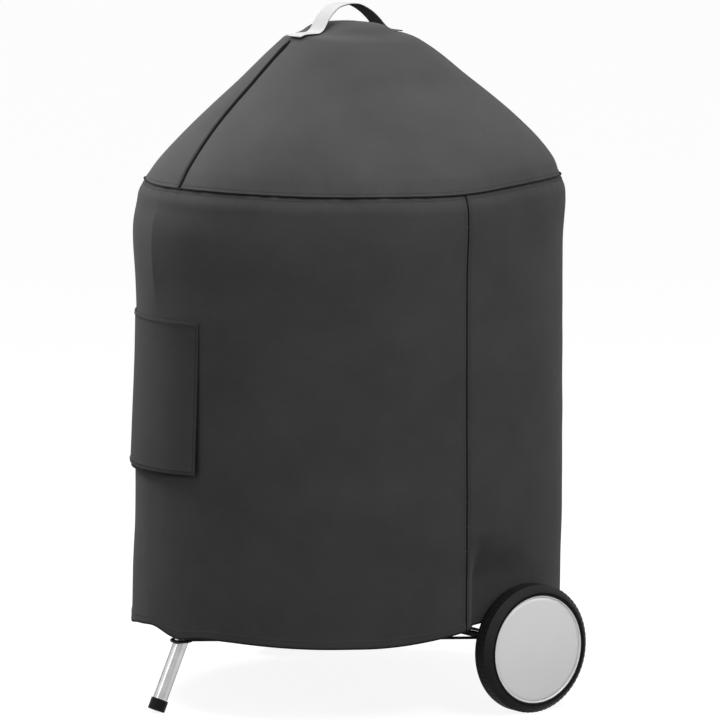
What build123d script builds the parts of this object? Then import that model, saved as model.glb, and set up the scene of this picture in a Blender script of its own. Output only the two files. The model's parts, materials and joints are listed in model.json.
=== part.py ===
"""Kettle charcoal grill with its fitted fabric cover on.

Millimetres, +Z up. The floor is z = 0 and the origin is under the middle of the whole object.
+X runs along the wheel axle to the right wheel, and the single front leg points towards -Y.
Everything is modelled about the kettle's own axis, and save() then shifts it to the origin.
"""

from build123d import *
from math import asin, atan2, cos, degrees, radians, sin, sqrt
import os

# ---------------------------------------------------------------- general clearances
SEAT_GAP = 0.3            # between parts that rest on each other but come apart
SHAFT_GAP = 0.08          # radial running clearance of a shaft in its bore
SCREW_GAP = 0.2           # radial clearance of a screw in its hole
PAST = 1.0                # how far a shape that cuts or joins reaches past the face it meets

# ---------------------------------------------------------------- bowl
RIM_Z = 745.0             # height of the bowl's rim above the floor
BOWL_R = 280.0            # outer radius at the rim
BOWL_DEPTH = 245.0
BOWL_SHOULDER_R = 200.0   # profile radius next to the rim
SHEET = 1.6               # enamelled sheet steel
BEAD_R = 3.0              # rolled rim
ASH_HOLE_R = 22.0
ASH_HOLE_AT = 72.0        # radius of the circle of ash holes
ASH_HOLES = 3

# ---------------------------------------------------------------- lid
LEDGE_LAP = 3.0           # how far the lid's ledge reaches inwards over the bowl's rim
LID_HEIGHT = 238.0
LID_SHOULDER_R = 170.0
LID_SKIRT = 13.0          # skirt that hangs round the bowl's rim
LID_SIDE_GAP = 1.3        # between the skirt and the rolled rim
DAMPER_AT = 168.0         # distance of the damper from the lid's axis
DAMPER_ANGLE = -35.0      # its direction round the lid
DAMPER_R = 37.0
DAMPER_SHEET = 1.2
DAMPER_GAP = 0.6          # between the damper disc and the dome
DAMPER_HOLE_R = 8.0
DAMPER_HOLE_AT = 22.0
DAMPER_HOLES = 4
DAMPER_TAB = 14.0         # reach of the finger tab past the disc
DAMPER_TAB_W = 14.0
DAMPER_LIP = 12.0         # height of the tab's turned-up end
DAMPER_LIP_T = 2.0
DAMPER_CUT = 15.0         # half the depth of the shapes that cut the damper and its holes
RIVET_R = 3.0
RIVET_HEAD_R = 7.0
RIVET_HEAD = 1.8
RIVET_UNDER = 1.0         # between the dome's inside and the rivet's lower head, for the curve
HOOK_RISE = 116.7         # top of the hook above the lid's rim
HOOK_DROP = 46.0
HOOK_SET_IN = 40.0        # hook's plate inside the lid's rim radius
HOOK_W = 24.0
HOOK_T = 2.0
HOOK_ANGLE = 145.0

# ---------------------------------------------------------------- lid handle
GRIP_R = 14.0
GRIP_HALF = 63.5
GRIP_ROUND = 8.0          # rounding of the grip's ends
GRIP_RISE = 62.5          # top of the grip above the dome's apex
GRIP_SCREW_L = 20.0       # how far a screw reaches into the grip's end
GRIP_SCREW_END = 2.0      # empty end of the screw's hole
BRACKET_W = 24.0
BRACKET_T = 2.5
BRACKET_END_R = 11.0
BRACKET_SHOULDER = 8.0    # where the arms narrow, below the grip's middle
SHIELD_L = 6.0            # how far the shield's flanges drop
SHIELD_W = 74.0
SHIELD_T = 1.2
SHIELD_RISE = 18.0        # shield above the dome's apex
LID_BOLT_R = 3.0
LID_BOLT_AT = 30.0
LID_BOLT_HEAD_R = 5.5
LID_BOLT_HEAD = 3.0
LID_NUT_R = 5.0
LID_NUT = 4.0
LID_NUT_DROP = 2.2        # nut below the dome's inner apex, clear of its curve
LID_BOLT_PAST_NUT = 1.0

# ---------------------------------------------------------------- legs and sockets
LEG_R = 11.1
LEG_WALL = 1.5
LEG_TOP_R = 125.0         # radius at which the legs' axes meet the bowl
FOOT_OUT = 86.9           # foot of the front leg's axis outside the bowl's rim
SOCKET_WALL = 2.0
SOCKET_LENGTH = 52.0
SOCKET_CUT = 25.0         # length above the leg's top point that the bowl's curve trims away
LEG_TOP_GAP = 9.0         # from the bowl to the top of the tube
REAR_LEG_ANGLE = 30.0     # direction of the rear sockets from the axle's direction
CAP_WALL = 2.4
CAP_LENGTH = 14.0
CAP_END = 4.0             # thickness of the foot cap under the tube
FOOT_FLAT = 2.5           # height of the flat worn across the cap's corner

# ---------------------------------------------------------------- wheels and axle
WHEEL_R = 100.0
WHEEL_BACK = 109.3        # axle behind the kettle's axis
WHEEL_PAST_WALL = 18.0    # outer face of the hub cap beyond the cover's wall
TYRE_W = 34.0
TYRE_SET_BACK = 3.0       # tyre's face behind the hub cap's face
TYRE_SHOULDER_R = 7.0
TREAD_CROWN = 1.2         # how much the tread bulges at its middle
HUB_BOSS_R = 16.0
HUB_BOSS_IN = 9.0         # boss beyond the tyre's inner face
HUB_RIM_T = 3.0
HUB_WEB_T = 6.0
HUB_SPOKES = 6
HUB_RIB_T = 4.0
BUSH_WALL = 2.0
BUSH_FIT = 0.1
HUB_CAP_R = 84.3
HUB_CAP_GAP = 0.3         # between the cap and the hub's rim
HUB_CAP_T = 1.4
HUB_CAP_DISH = 4.0
HUB_CAP_RIM = 2.4         # radius of the cap's rolled rim
HUB_CAP_CLIP_R = 60.0     # ring behind the cap that grips the hub's ribs
RIB_SET_BACK = 8.0        # ribs behind the tyre's outer face
AXLE_PAST_TYRE = 5.0      # how far the axle stops short of the tyre's outer face
AXLE_R = 5.0
PUSH_NUT_R = 9.0
PUSH_NUT_T = 3.0
WASHER_R = 10.5
WASHER_T = 1.4
SIDE_PLAY = 0.3           # on each side of a washer
LEG_PAST_AXLE = 18.0      # length of a rear leg below the axle
SPACER_R = 8.0
SPACER_L = 26.0           # from the rear leg's axis to the washer
PLUG_T = 2.5
PLUG_SPIGOT = 7.0
PLUG_FIT = 0.1

# ---------------------------------------------------------------- wire rack between the legs
RACK_ABOVE_AXLE = 0.6     # between the axle and the rack's wires
RACK_WIRE_R = 2.5
RACK_CROSS_R = 1.8
RACK_PITCH = 36.0
RACK_ROD_R = 2.3
RACK_SLANT = 1.12         # a slanting leg's width at a level section, over its own
RACK_RING_GAP = 0.5

# ---------------------------------------------------------------- bowl handles
HANDLE_DROP = 27.0        # middle of the grip below the bowl's rim
HANDLE_R = 10.0
HANDLE_HALF = 68.0
HANDLE_OUT = 52.0         # outermost corner of the grip outside the bowl's rim radius
HANDLE_ROUND = 4.0
HANDLE_ARM_W = 16.0
HANDLE_ARM_H = 13.0
BAND_T = 2.5
BAND_H = 18.0
BAND_SPAN = 34.0          # degrees round the bowl
TONGUE_L = 20.0
TONGUE_T = 3.0
SCREW_R = 2.5
SCREW_HEAD_R = 4.5
SCREW_HEAD = 3.0
SCREW_BITE = 8.0

# ---------------------------------------------------------------- grates
GRATE_MARGIN = 18.0       # ring's centre line inside the bowl's rim radius
GRATE_RING_R = 3.5
GRATE_ROD_R = 2.2
GRATE_FRAME_R = 2.6       # hinge rods, arcs and handle bars
GRATE_POST_R = 2.8        # posts under them, and the flaps' chord rods
GRATE_PITCH = 20.0
GRATE_DROP = 20.0         # ring's centre below the bowl's rim
GRATE_WELD = 0.5          # how deep crossing rods are pressed into each other
HINGE_X = 150.0
FLAP_CHORD_AT = 8.0       # flap's chord rod outside the hinge rod
FLAP_MARGIN = 6.0         # flap's arc inside the ring
KNUCKLE_AT = 90.0
KNUCKLE_L = 10.0
KNUCKLE_WALL = 2.4
GRATE_HANDLE_HALF = 30.0
GRATE_HANDLE_H = 34.0
COAL_MARGIN = 67.0        # ring's centre line inside the bowl's rim radius
COAL_ROD_R = 3.0
COAL_CROSS_R = 2.6
COAL_PITCH = 22.0
COAL_DROP = 138.0         # centre of the charcoal grate's ring below the bowl's rim
TAB_W = 18.0
TAB_T = 2.0
TAB_BITE = 9.0            # how far a tab reaches under a ring
TAB_COUNT = 4
TAB_ANGLE = 45.0          # direction of the first tab

# ---------------------------------------------------------------- ash cleaner
SHAFT_R = 5.0
SHAFT_HEAD_R = 11.0
SHAFT_HEAD = 3.0
SHAFT_PAST_NUT = 2.0
BLADE_GAP = 0.5
BLADE_T = 1.2
BLADE_R = 118.0
BLADE_HUB_R = 22.0
BLADE_ANGLE = 42.0
LEVER_DROP = 13.0         # lever below the bowl's bottom
LEVER_T = 3.0
LEVER_W = 20.0
LEVER_REACH = 222.0
LEVER_EYE_R = 14.0
COLLAR_WALL = 3.0
COLLAR_GAP = 1.0          # between the lever's collar and the bowl
LEVER_ANGLE = -55.0
LEVER_GRIP_R = 12.0
LEVER_GRIP_L = 72.0
LEVER_GRIP_ROUND = 6.0
LEVER_IN_GRIP = 42.0      # how far the lever reaches into its grip
NUT_AF = 17.0
NUT_H = 6.0

# ---------------------------------------------------------------- ash pan
PAN_DROP = 102.0          # pan's rim below the bowl's bottom
PAN_R = 148.0
PAN_FLANGE = 12.0
PAN_DEPTH = 24.0
PAN_BOTTOM_R = 110.0
PAN_SHEET = 1.2
CLIP_L = 14.0
CLIP_WALL = 2.4
CLIP_W = 12.0
CLIP_T = 3.0
CLIP_LAP = 9.0            # how far a clip reaches under the pan's flange

# ---------------------------------------------------------------- fabric cover
FABRIC = 1.5              # coated fabric with its lining
BEYOND = 20.0             # how far the shapes that divide the cover reach past it
COVER_REST = 0.5          # between the handle's grip and the fabric
COVER_SIDE_GAP = 3.5      # between the bowl handles and the fabric
CROWN_R = 224.0           # radius of the cap over the handle
CAP_EDGE_R = 112.0
CONE_BULGE = 8.0
SHOULDER_IN = 14.0        # shoulder seam inside the wall's radius
SHOULDER_RISE = 63.5      # shoulder seam above the bowl's rim
SHOULDER_ROUND = 43.5     # height over which the wall rounds in to the seam
HEM_OVER_AXLE = 20.0      # lower edge of the cover above the axle
HEM_H = 14.0
HEM_T = 1.2
WHEEL_SIDE_GAP = 5.0      # between the fabric and the tyres
TUCK_OVER_WHEEL = 35.0    # top of the wheels up to where the pressed-in fabric starts to lean out
TUCK_H = 95.0             # height over which it leans out to the full wall
PIPING_R = 2.4
PIPING_OUT = 1.4          # middle of the cord outside the seam
VENT_ANGLE = -108.5
VENT_W = 240.0
VENT_H = 150.0
VENT_BELOW_SEAM = 26.0    # top of the vent opening below the flap's seam
MESH_LAP = 12.0
MESH_T = 1.0
FLAP_DROP = 203.0         # flap's seam below the shoulder seam
FLAP_H = 244.0
FLAP_SPAN = 60.0          # degrees round the wall
FLAP_OFF = 0.5            # between the wall and the flap at its seam
FLAP_FLARE = 7.0
STRAP_W = 38.0
STRAP_T = 2.5
STRAP_RISE = 29.0         # top of the strap above the cap
STRAP_HALF = 66.0         # half the arch at its base
STRAP_TAB = 110.0         # end of the sewn tabs from the axis
STRAP_JOIN = 6.0          # how far the arch and its tabs run into each other

# ---------------------------------------------------------------- values worked out from these
LID_R = BOWL_R - LEDGE_LAP
LID_RIM_Z = RIM_Z + SEAT_GAP
APEX_Z = LID_RIM_Z + LID_HEIGHT
HOOK_R = LID_R - HOOK_SET_IN
HOOK_TOP_Z = LID_RIM_Z + HOOK_RISE
HANDLE_REACH = BOWL_R + HANDLE_OUT
FOOT_R = BOWL_R + FOOT_OUT
WALL_R = HANDLE_REACH + COVER_SIDE_GAP + FABRIC
WHEEL_OUT = WALL_R + WHEEL_PAST_WALL
GRIP_Z = APEX_Z + GRIP_RISE - GRIP_R
SKIRT_IN_R = BOWL_R - SHEET / 2 + BEAD_R + LID_SIDE_GAP
TYRE_OUT = WHEEL_OUT - TYRE_SET_BACK
TYRE_IN = TYRE_OUT - TYRE_W
TYRE_BORE_R = HUB_CAP_R + HUB_CAP_GAP + HUB_RIM_T
BOSS_IN = TYRE_IN - HUB_BOSS_IN
RIB_OUT = TYRE_OUT - RIB_SET_BACK
AXLE_END = TYRE_OUT - AXLE_PAST_TYRE
BOSS_OUT = AXLE_END - PUSH_NUT_T - 2 * SIDE_PLAY
WASHER_IN = BOSS_IN - SIDE_PLAY - WASHER_T
LEG_AXLE_X = WASHER_IN - SIDE_PLAY - SPACER_L
RACK_Z = WHEEL_R + AXLE_R + RACK_ABOVE_AXLE + RACK_WIRE_R
WALL_TUCK = TYRE_IN - WHEEL_SIDE_GAP
SHOULDER_R = WALL_R - SHOULDER_IN
SHOULDER_Z = RIM_Z + SHOULDER_RISE
HEM_Z = WHEEL_R + HEM_OVER_AXLE
TUCK_Z = 2 * WHEEL_R + TUCK_OVER_WHEEL
TUCK_TOP_Z = TUCK_Z + TUCK_H
FLAP_TOP_Z = SHOULDER_Z - FLAP_DROP
VENT_TOP_Z = FLAP_TOP_Z - VENT_BELOW_SEAM
VENT_BOTTOM_Z = VENT_TOP_Z - VENT_H
GRATE_RING_AT = BOWL_R - GRATE_MARGIN
GRATE_RING_Z = RIM_Z - GRATE_DROP
ROD_Z = GRATE_RING_Z + GRATE_RING_R + SEAT_GAP + GRATE_FRAME_R
FLAP_RING_AT = GRATE_RING_AT - FLAP_MARGIN
COAL_RING_AT = BOWL_R - COAL_MARGIN
COAL_Z = RIM_Z - COAL_DROP
BOWL_BOTTOM_Z = RIM_Z - BOWL_DEPTH
PAN_RIM_Z = BOWL_BOTTOM_Z - PAN_DROP
LEVER_Z = BOWL_BOTTOM_Z - LEVER_DROP
HANDLE_Z = RIM_Z - HANDLE_DROP


# ================================================================ helpers
def save(name, *solids):
    """Write one node, shifted from the kettle's axis to the object's origin."""
    shape = Compound(children=list(solids)) if len(solids) > 1 else solids[0]
    export_step(Pos(0, axis_y(), 0) * shape, f"parts/{name}.step")


def rod(start, end, radius):
    """A round bar between two points."""
    axis = Vector(*end) - Vector(*start)
    along = Plane(origin=start, z_dir=axis)
    return along * Cylinder(radius, axis.length, align=(Align.CENTER, Align.CENTER, Align.MIN))


def bar(x_range, y_range, z_range):
    """A box from its lowest to its highest value along each axis."""
    size = [high - low for low, high in (x_range, y_range, z_range)]
    middle = [(high + low) / 2 for low, high in (x_range, y_range, z_range)]
    return Pos(*middle) * Box(*size)


def disc(radius, low, high, x=0.0, y=0.0):
    """An upright cylinder between two heights."""
    return Pos(x, y, (low + high) / 2) * Cylinder(radius, high - low)


def ring(outer, inner, low, high):
    return disc(outer, low, high) - disc(inner, low - PAST, high + PAST)


def turned(points):
    """A solid of revolution about Z from a closed outline of (radius, height) points."""
    return revolve(make_face(Plane.XZ * Polyline(*points, close=True)), Axis.Z)


def sector(points, middle, span):
    """Part of a turned solid: span degrees wide, centred on the direction middle."""
    face = make_face(Plane.XZ * Polyline(*points, close=True))
    return Rot(0, 0, middle - span / 2) * revolve(face, Axis.Z, revolution_arc=span)


def joined(solids):
    """One solid from several that overlap."""
    return solids[0] + solids[1:]


def step_along(start, end, distance):
    """The point that lies a distance from start on the way to end."""
    direction = (Vector(*end) - Vector(*start)).normalized()
    return tuple(Vector(*start) + direction * distance)


def around(count, first=0.0):
    """Directions of equally spaced copies, in degrees."""
    return [first + 360 / count * i for i in range(count)]


def polar(radius, angle, z=0.0):
    return (radius * cos(radians(angle)), radius * sin(radians(angle)), z)


def crown_radius(rim, height, shoulder):
    """Radius of the arc over the axis that is tangent to the shoulder arc."""
    across = rim - shoulder
    return (across**2 + height**2 - shoulder**2) / (2 * (height - shoulder))


def dome(rim, height, shoulder, inset=0.0):
    """A filled dome with its rim at z = 0: a shoulder arc, then a crown arc, tangent."""
    across = rim - shoulder
    crown = crown_radius(rim, height, shoulder)
    centre_z = height - crown
    meet = degrees(atan2(-centre_z, across))
    shoulder_arc = CenterArc((across, 0), shoulder - inset, 0, meet)
    crown_arc = CenterArc((0, centre_z), crown - inset, meet, 90 - meet)
    floor_line = Line((0, 0), (rim - inset, 0))
    axis_line = Line((0, height - inset), (0, 0))
    outline = Wire([floor_line, shoulder_arc, crown_arc, axis_line])
    return revolve(make_face(Plane.XZ * outline), Axis.Z)


def bowl_form(inset=0.0):
    upside_down = Rot(180, 0, 0) * dome(BOWL_R, BOWL_DEPTH, BOWL_SHOULDER_R, inset)
    return Pos(0, 0, RIM_Z) * upside_down


def lid_form(inset=0.0):
    return Pos(0, 0, LID_RIM_Z) * dome(LID_R, LID_HEIGHT, LID_SHOULDER_R, inset)


def bowl_under(radius):
    """Height of the bowl's underside at a radius within its crown."""
    crown = crown_radius(BOWL_R, BOWL_DEPTH, BOWL_SHOULDER_R)
    return BOWL_BOTTOM_Z + crown - sqrt(crown**2 - radius**2)


# ================================================================ bowl and what is welded to it
def make_bowl():
    shell = bowl_form() - bowl_form(SHEET)
    bead = Pos(0, 0, RIM_Z - BEAD_R) * Torus(BOWL_R - SHEET / 2, BEAD_R)
    shell = shell + bead
    for angle in around(ASH_HOLES, LEVER_ANGLE):
        x, y, _ = polar(ASH_HOLE_AT, angle)
        hole_top = bowl_under(ASH_HOLE_AT + ASH_HOLE_R) + 2 * SHEET
        shell = shell - disc(ASH_HOLE_R, BOWL_BOTTOM_Z - PAST, hole_top, x, y)
    return shell - disc(SHAFT_R + SHAFT_GAP, BOWL_BOTTOM_Z - PAST, BOWL_BOTTOM_Z + SHEET + PAST)


def make_tabs(under_z, reach):
    """Small flat tabs on the bowl's wall, to carry a grate's ring."""
    tab = bar((reach, BOWL_R), (-TAB_W / 2, TAB_W / 2), (under_z - TAB_T, under_z))
    inside = bowl_form(SHEET)
    return [(Rot(0, 0, angle) * tab) & inside for angle in around(TAB_COUNT, TAB_ANGLE)]


# ================================================================ legs
def leg_top(angle):
    return polar(LEG_TOP_R, angle, bowl_under(LEG_TOP_R))


LEGS = {
    "front": (leg_top(-90), (0.0, -FOOT_R, 0.0)),
    "left": (leg_top(180 - REAR_LEG_ANGLE), (-LEG_AXLE_X, WHEEL_BACK, WHEEL_R)),
    "right": (leg_top(REAR_LEG_ANGLE), (LEG_AXLE_X, WHEEL_BACK, WHEEL_R)),
}


def leg_point(side, z):
    """Where a leg's axis crosses a height."""
    top, bottom = (Vector(*p) for p in LEGS[side])
    share = (z - bottom.Z) / (top.Z - bottom.Z)
    return tuple(bottom + (top - bottom) * share)


def front_lean():
    """Angle of the front leg from upright, in radians."""
    top, bottom = (Vector(*p) for p in LEGS["front"])
    return atan2(top.Y - bottom.Y, top.Z - bottom.Z)


def foot_end_z():
    """Height of the middle of the foot cap's end face, with its corner cut flat at the floor."""
    return (LEG_R + CAP_WALL) * sin(front_lean()) - FOOT_FLAT


def axis_y():
    """The kettle's axis from the object's middle: the foot reaches out further than the cover."""
    foot_reach = (LEG_R + CAP_WALL) * cos(front_lean()) - leg_point("front", foot_end_z())[1]
    return (foot_reach - WALL_R - HEM_T) / 2


def rear_leg_end(side):
    top, bottom = LEGS[side]
    return step_along(bottom, top, -LEG_PAST_AXLE)


def make_leg(side):
    top, bottom = LEGS[side]
    start = step_along(top, bottom, LEG_TOP_GAP)
    if side == "front":
        end = step_along(leg_point(side, foot_end_z()), top, CAP_END)
    else:
        end = rear_leg_end(side)
    inside = rod(step_along(start, end, -PAST), step_along(end, start, -PAST), LEG_R - LEG_WALL)
    tube = rod(start, end, LEG_R) - inside
    if side != "front":
        tube = tube - on_axle(disc(AXLE_R + SCREW_GAP, -WHEEL_OUT, WHEEL_OUT))
    return tube


def make_socket(side):
    """A short tube welded under the bowl, cut to the bowl's curve, that holds a leg."""
    top, bottom = LEGS[side]
    bore_r = LEG_R + SHAFT_GAP
    low = step_along(top, bottom, SOCKET_LENGTH)
    outer = rod(step_along(top, bottom, -SOCKET_CUT), low, bore_r + SOCKET_WALL)
    bore = rod(step_along(top, bottom, LEG_TOP_GAP), step_along(low, top, -PAST), bore_r)
    return outer - bore - bowl_form()


def make_foot_cap():
    """A black cap over the front leg's end, with a small flat where it meets the floor."""
    top, _ = LEGS["front"]
    low = leg_point("front", foot_end_z())
    body = rod(low, step_along(low, top, CAP_END + CAP_LENGTH), LEG_R + CAP_WALL)
    bore = rod(step_along(low, top, CAP_END), step_along(low, top, CAP_END + CAP_LENGTH + PAST), LEG_R)
    wide = 2 * CAP_LENGTH
    below = bar((-wide, wide), (low[1] - wide, low[1] + wide), (-wide, 0))
    return body - bore - below


# ================================================================ axle and wheels, right side
def on_axle(solid):
    """Turn a solid made about Z into one about the wheel axle, its +Z to the right."""
    return Pos(0, WHEEL_BACK, WHEEL_R) * Rot(0, 90, 0) * solid


def make_leg_plug():
    """The plug that closes the lower end of the right rear leg."""
    top, _ = LEGS["right"]
    end = rear_leg_end("right")
    flange = rod(step_along(end, top, -PLUG_T), end, LEG_R)
    return flange + rod(end, step_along(end, top, PLUG_SPIGOT), LEG_R - LEG_WALL - PLUG_FIT)


def make_spacer():
    """A sleeve on the axle, cut to the leg's slope, that keeps the wheel off the leg."""
    top, _ = LEGS["right"]
    sleeve = ring(SPACER_R, AXLE_R + SCREW_GAP, LEG_AXLE_X, WASHER_IN - SIDE_PLAY)
    return on_axle(sleeve) - rod(step_along(rear_leg_end("right"), top, -LEG_PAST_AXLE), top, LEG_R)


def make_tyre():
    """The moulded tyre, with rounded shoulders and a slightly bulging tread."""
    low = TYRE_IN
    high = TYRE_OUT
    shoulder = TYRE_SHOULDER_R
    side_r = WHEEL_R - TREAD_CROWN - shoulder
    tread = ((WHEEL_R - TREAD_CROWN, low + shoulder), (WHEEL_R, (low + high) / 2))
    outline = Wire([
        Line((TYRE_BORE_R, low), (side_r, low)),
        CenterArc((side_r, low + shoulder), shoulder, -90, 90),
        ThreePointArc(*tread, (WHEEL_R - TREAD_CROWN, high - shoulder)),
        CenterArc((side_r, high - shoulder), shoulder, 0, 90),
        Line((side_r, high), (TYRE_BORE_R, high)),
        Line((TYRE_BORE_R, high), (TYRE_BORE_R, low)),
    ])
    return on_axle(revolve(make_face(Plane.XZ * outline), Axis.Z))


def make_hub():
    """The wheel's moulded hub: a boss, a web with ribs, and the rim that the tyre sits on."""
    web_low = (TYRE_IN + RIB_OUT - HUB_WEB_T) / 2
    mid_rim = TYRE_BORE_R - HUB_RIM_T / 2
    hub = disc(HUB_BOSS_R, BOSS_IN, BOSS_OUT)
    hub = hub + disc(mid_rim, web_low, web_low + HUB_WEB_T)
    hub = hub + ring(TYRE_BORE_R, TYRE_BORE_R - HUB_RIM_T, TYRE_IN, TYRE_OUT)
    rib_y = (-HUB_RIB_T / 2, HUB_RIB_T / 2)
    rib = bar((HUB_BOSS_R - HUB_RIB_T / 2, mid_rim), rib_y, (TYRE_IN + HUB_RIB_T, RIB_OUT))
    for angle in around(HUB_SPOKES):
        hub = hub + Rot(0, 0, angle) * rib
    return on_axle(hub - disc(AXLE_R + SHAFT_GAP + BUSH_WALL, BOSS_IN - PAST, BOSS_OUT + PAST))


def make_bush():
    """The sleeve in the hub that turns on the axle."""
    return on_axle(ring(AXLE_R + SHAFT_GAP + BUSH_WALL - BUSH_FIT, AXLE_R + SHAFT_GAP, BOSS_IN, BOSS_OUT))


def make_hub_cap():
    """The pressed cap over the wheel's face: a dished disc with a rolled rim and a clip ring."""
    rim_r = HUB_CAP_R - HUB_CAP_RIM
    crown = (rim_r**2 + HUB_CAP_DISH**2) / (2 * HUB_CAP_DISH)
    outer = Pos(0, 0, WHEEL_OUT - crown) * Sphere(crown)
    inner = Pos(0, 0, WHEEL_OUT - crown) * Sphere(crown - HUB_CAP_T)
    face = (outer - inner) & disc(rim_r, WHEEL_OUT - 2 * HUB_CAP_DISH, WHEEL_OUT + PAST)
    rolled = Pos(0, 0, WHEEL_OUT - HUB_CAP_DISH) * Torus(rim_r, HUB_CAP_RIM)
    under = WHEEL_OUT - crown + sqrt((crown - HUB_CAP_T)**2 - HUB_CAP_CLIP_R**2)
    clip = ring(HUB_CAP_CLIP_R, HUB_CAP_CLIP_R - HUB_CAP_T, RIB_OUT, under + HUB_CAP_T / 2)
    return on_axle(face + rolled + clip)


def make_washer():
    return on_axle(ring(WASHER_R, AXLE_R + SCREW_GAP, WASHER_IN, WASHER_IN + WASHER_T))


def make_push_nut():
    """A pressed nut that grips the axle's end and keeps the wheel on."""
    low = BOSS_OUT + SIDE_PLAY
    return on_axle(ring(PUSH_NUT_R, AXLE_R, low, low + PUSH_NUT_T))


def mirrored(solid):
    """The left-hand twin of a right-hand part."""
    return mirror(solid, Plane.YZ)


# ================================================================ wire rack
def make_rack():
    """A triangle of rods with a hook round each leg, and thinner wires across it."""
    ring_r = LEG_R * RACK_SLANT + RACK_RING_GAP + RACK_WIRE_R
    corners = {side: leg_point(side, RACK_Z) for side in LEGS}
    pieces = []
    for side, corner in corners.items():
        hook = Pos(*corner) * Torus(ring_r, RACK_WIRE_R)
        if side != "front":
            y_range = (corner[1] - 2 * ring_r, corner[1] + 2 * ring_r)
            hook = hook & bar(sorted((0.0, corner[0])), y_range, (RACK_Z - ring_r, RACK_Z + ring_r))
        pieces.append(hook)
    for a, b in (("front", "right"), ("front", "left"), ("left", "right")):
        start = step_along(corners[a], corners[b], ring_r)
        end = step_along(corners[b], corners[a], ring_r)
        pieces.append(rod(start, end, RACK_ROD_R))
    front = Vector(*corners["front"])
    right = Vector(*corners["right"])
    rows = int((right.Y - front.Y - ring_r) / RACK_PITCH)
    for i in range(1, rows + 1):
        y = right.Y - i * RACK_PITCH
        half = right.X * (y - front.Y) / (right.Y - front.Y)
        if half > 2 * ring_r:
            pieces.append(rod((-half, y, RACK_Z), (half, y, RACK_Z), RACK_CROSS_R))
    return joined(pieces)


# ================================================================ bowl handles, front one at -Y
ARM_X = HANDLE_HALF - HANDLE_ARM_W / 2 - HANDLE_ROUND
GRIP_Y = sqrt(HANDLE_REACH**2 - HANDLE_HALF**2) - HANDLE_R
BAND_Y = BOWL_R + BAND_T
BAND_ROOT = BOWL_R - 3 * BAND_T
TONGUE_TOP = HANDLE_Z - HANDLE_ARM_H / 2
SCREW_Y = BAND_Y + TONGUE_L / 2


def arm_x(side):
    return (side * ARM_X - HANDLE_ARM_W / 2, side * ARM_X + HANDLE_ARM_W / 2)


def make_handle_bracket():
    """A band that follows the bowl, with two tongues under the handle's arms."""
    low = HANDLE_Z - BAND_H / 2
    high = HANDLE_Z + BAND_H / 2
    bracket = sector([(BAND_ROOT, low), (BAND_Y, low), (BAND_Y, high), (BAND_ROOT, high)], -90, BAND_SPAN)
    for side in (-1, 1):
        tongue = bar(arm_x(side), (-BAND_Y - TONGUE_L, -BAND_ROOT), (TONGUE_TOP - TONGUE_T, TONGUE_TOP))
        bracket = bracket + tongue
        bracket = bracket - disc(SCREW_R + SCREW_GAP, low - PAST, high + PAST, side * ARM_X, -SCREW_Y)
    return bracket - bowl_form()


def make_bowl_handle():
    """A moulded grip on two arms that sit on the bracket's tongues."""
    grip = rod((-HANDLE_HALF, -GRIP_Y, HANDLE_Z), (HANDLE_HALF, -GRIP_Y, HANDLE_Z), HANDLE_R)
    grip = fillet(grip.edges().filter_by(GeomType.CIRCLE), HANDLE_ROUND)
    for side in (-1, 1):
        z_range = (HANDLE_Z - HANDLE_ARM_H / 2, HANDLE_Z + HANDLE_ARM_H / 2)
        grip = grip + bar(arm_x(side), (-GRIP_Y, -BAND_Y - SEAT_GAP), z_range)
    for side in (-1, 1):
        hole_top = TONGUE_TOP + SCREW_BITE + PAST
        grip = grip - disc(SCREW_R + SCREW_GAP, TONGUE_TOP - PAST, hole_top, side * ARM_X, -SCREW_Y)
    return grip


def make_handle_screws():
    """The two screws of the front handle, put in from below."""
    screws = []
    for side in (-1, 1):
        under = TONGUE_TOP - TONGUE_T
        head = disc(SCREW_HEAD_R, under - SCREW_HEAD, under, side * ARM_X, -SCREW_Y)
        shank = disc(SCREW_R, under - SCREW_HEAD / 2, TONGUE_TOP + SCREW_BITE, side * ARM_X, -SCREW_Y)
        screws.append(head + shank)
    return screws


def behind(solid):
    """The twin of a front part on the other side of the bowl."""
    return mirror(solid, Plane.XZ)


# ================================================================ grates
def half_chord(radius, y):
    return sqrt(max(radius**2 - y**2, 0.0))


def rod_rows(pitch, limit):
    count = int(limit / pitch)
    return [pitch * i for i in range(-count, count + 1)]


def make_cooking_grate():
    """The fixed middle of the grate: a full ring, rods across it, two hinge rods, two handles."""
    pressed_z = GRATE_RING_Z + GRATE_RING_R + GRATE_ROD_R - GRATE_WELD
    hinge_half = half_chord(GRATE_RING_AT, HINGE_X)
    wire = Plane.XZ * Pos(GRATE_RING_AT, GRATE_RING_Z) * Rot(0, 0, 90) * Circle(GRATE_RING_R)
    pieces = [revolve(wire, Axis.Z)]
    for x in (-HINGE_X, HINGE_X):
        pieces.append(rod((x, -hinge_half, ROD_Z), (x, hinge_half, ROD_Z), GRATE_FRAME_R))
        for y in (-hinge_half, hinge_half):
            pieces.append(rod((x, y, GRATE_RING_Z), (x, y, ROD_Z + GRATE_FRAME_R), GRATE_POST_R))
    rows = rod_rows(GRATE_PITCH, GRATE_RING_AT - GRATE_PITCH / 2)
    for y in rows:
        half = half_chord(GRATE_RING_AT, y)
        if half < HINGE_X:
            pieces.append(rod((-half, y, pressed_z), (half, y, pressed_z), GRATE_ROD_R))
        else:
            pieces.append(rod((-HINGE_X, y, ROD_Z), (HINGE_X, y, ROD_Z), GRATE_ROD_R))
    high = ROD_Z + GRATE_HANDLE_H
    half = GRATE_HANDLE_HALF
    for y in (rows[0], rows[-1]):
        for x in (-half, half):
            pieces.append(rod((x, y, pressed_z), (x, y, high + GRATE_POST_R), GRATE_POST_R))
        pieces.append(rod((-half, y, high), (half, y, high), GRATE_FRAME_R))
    return joined(pieces)


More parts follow.
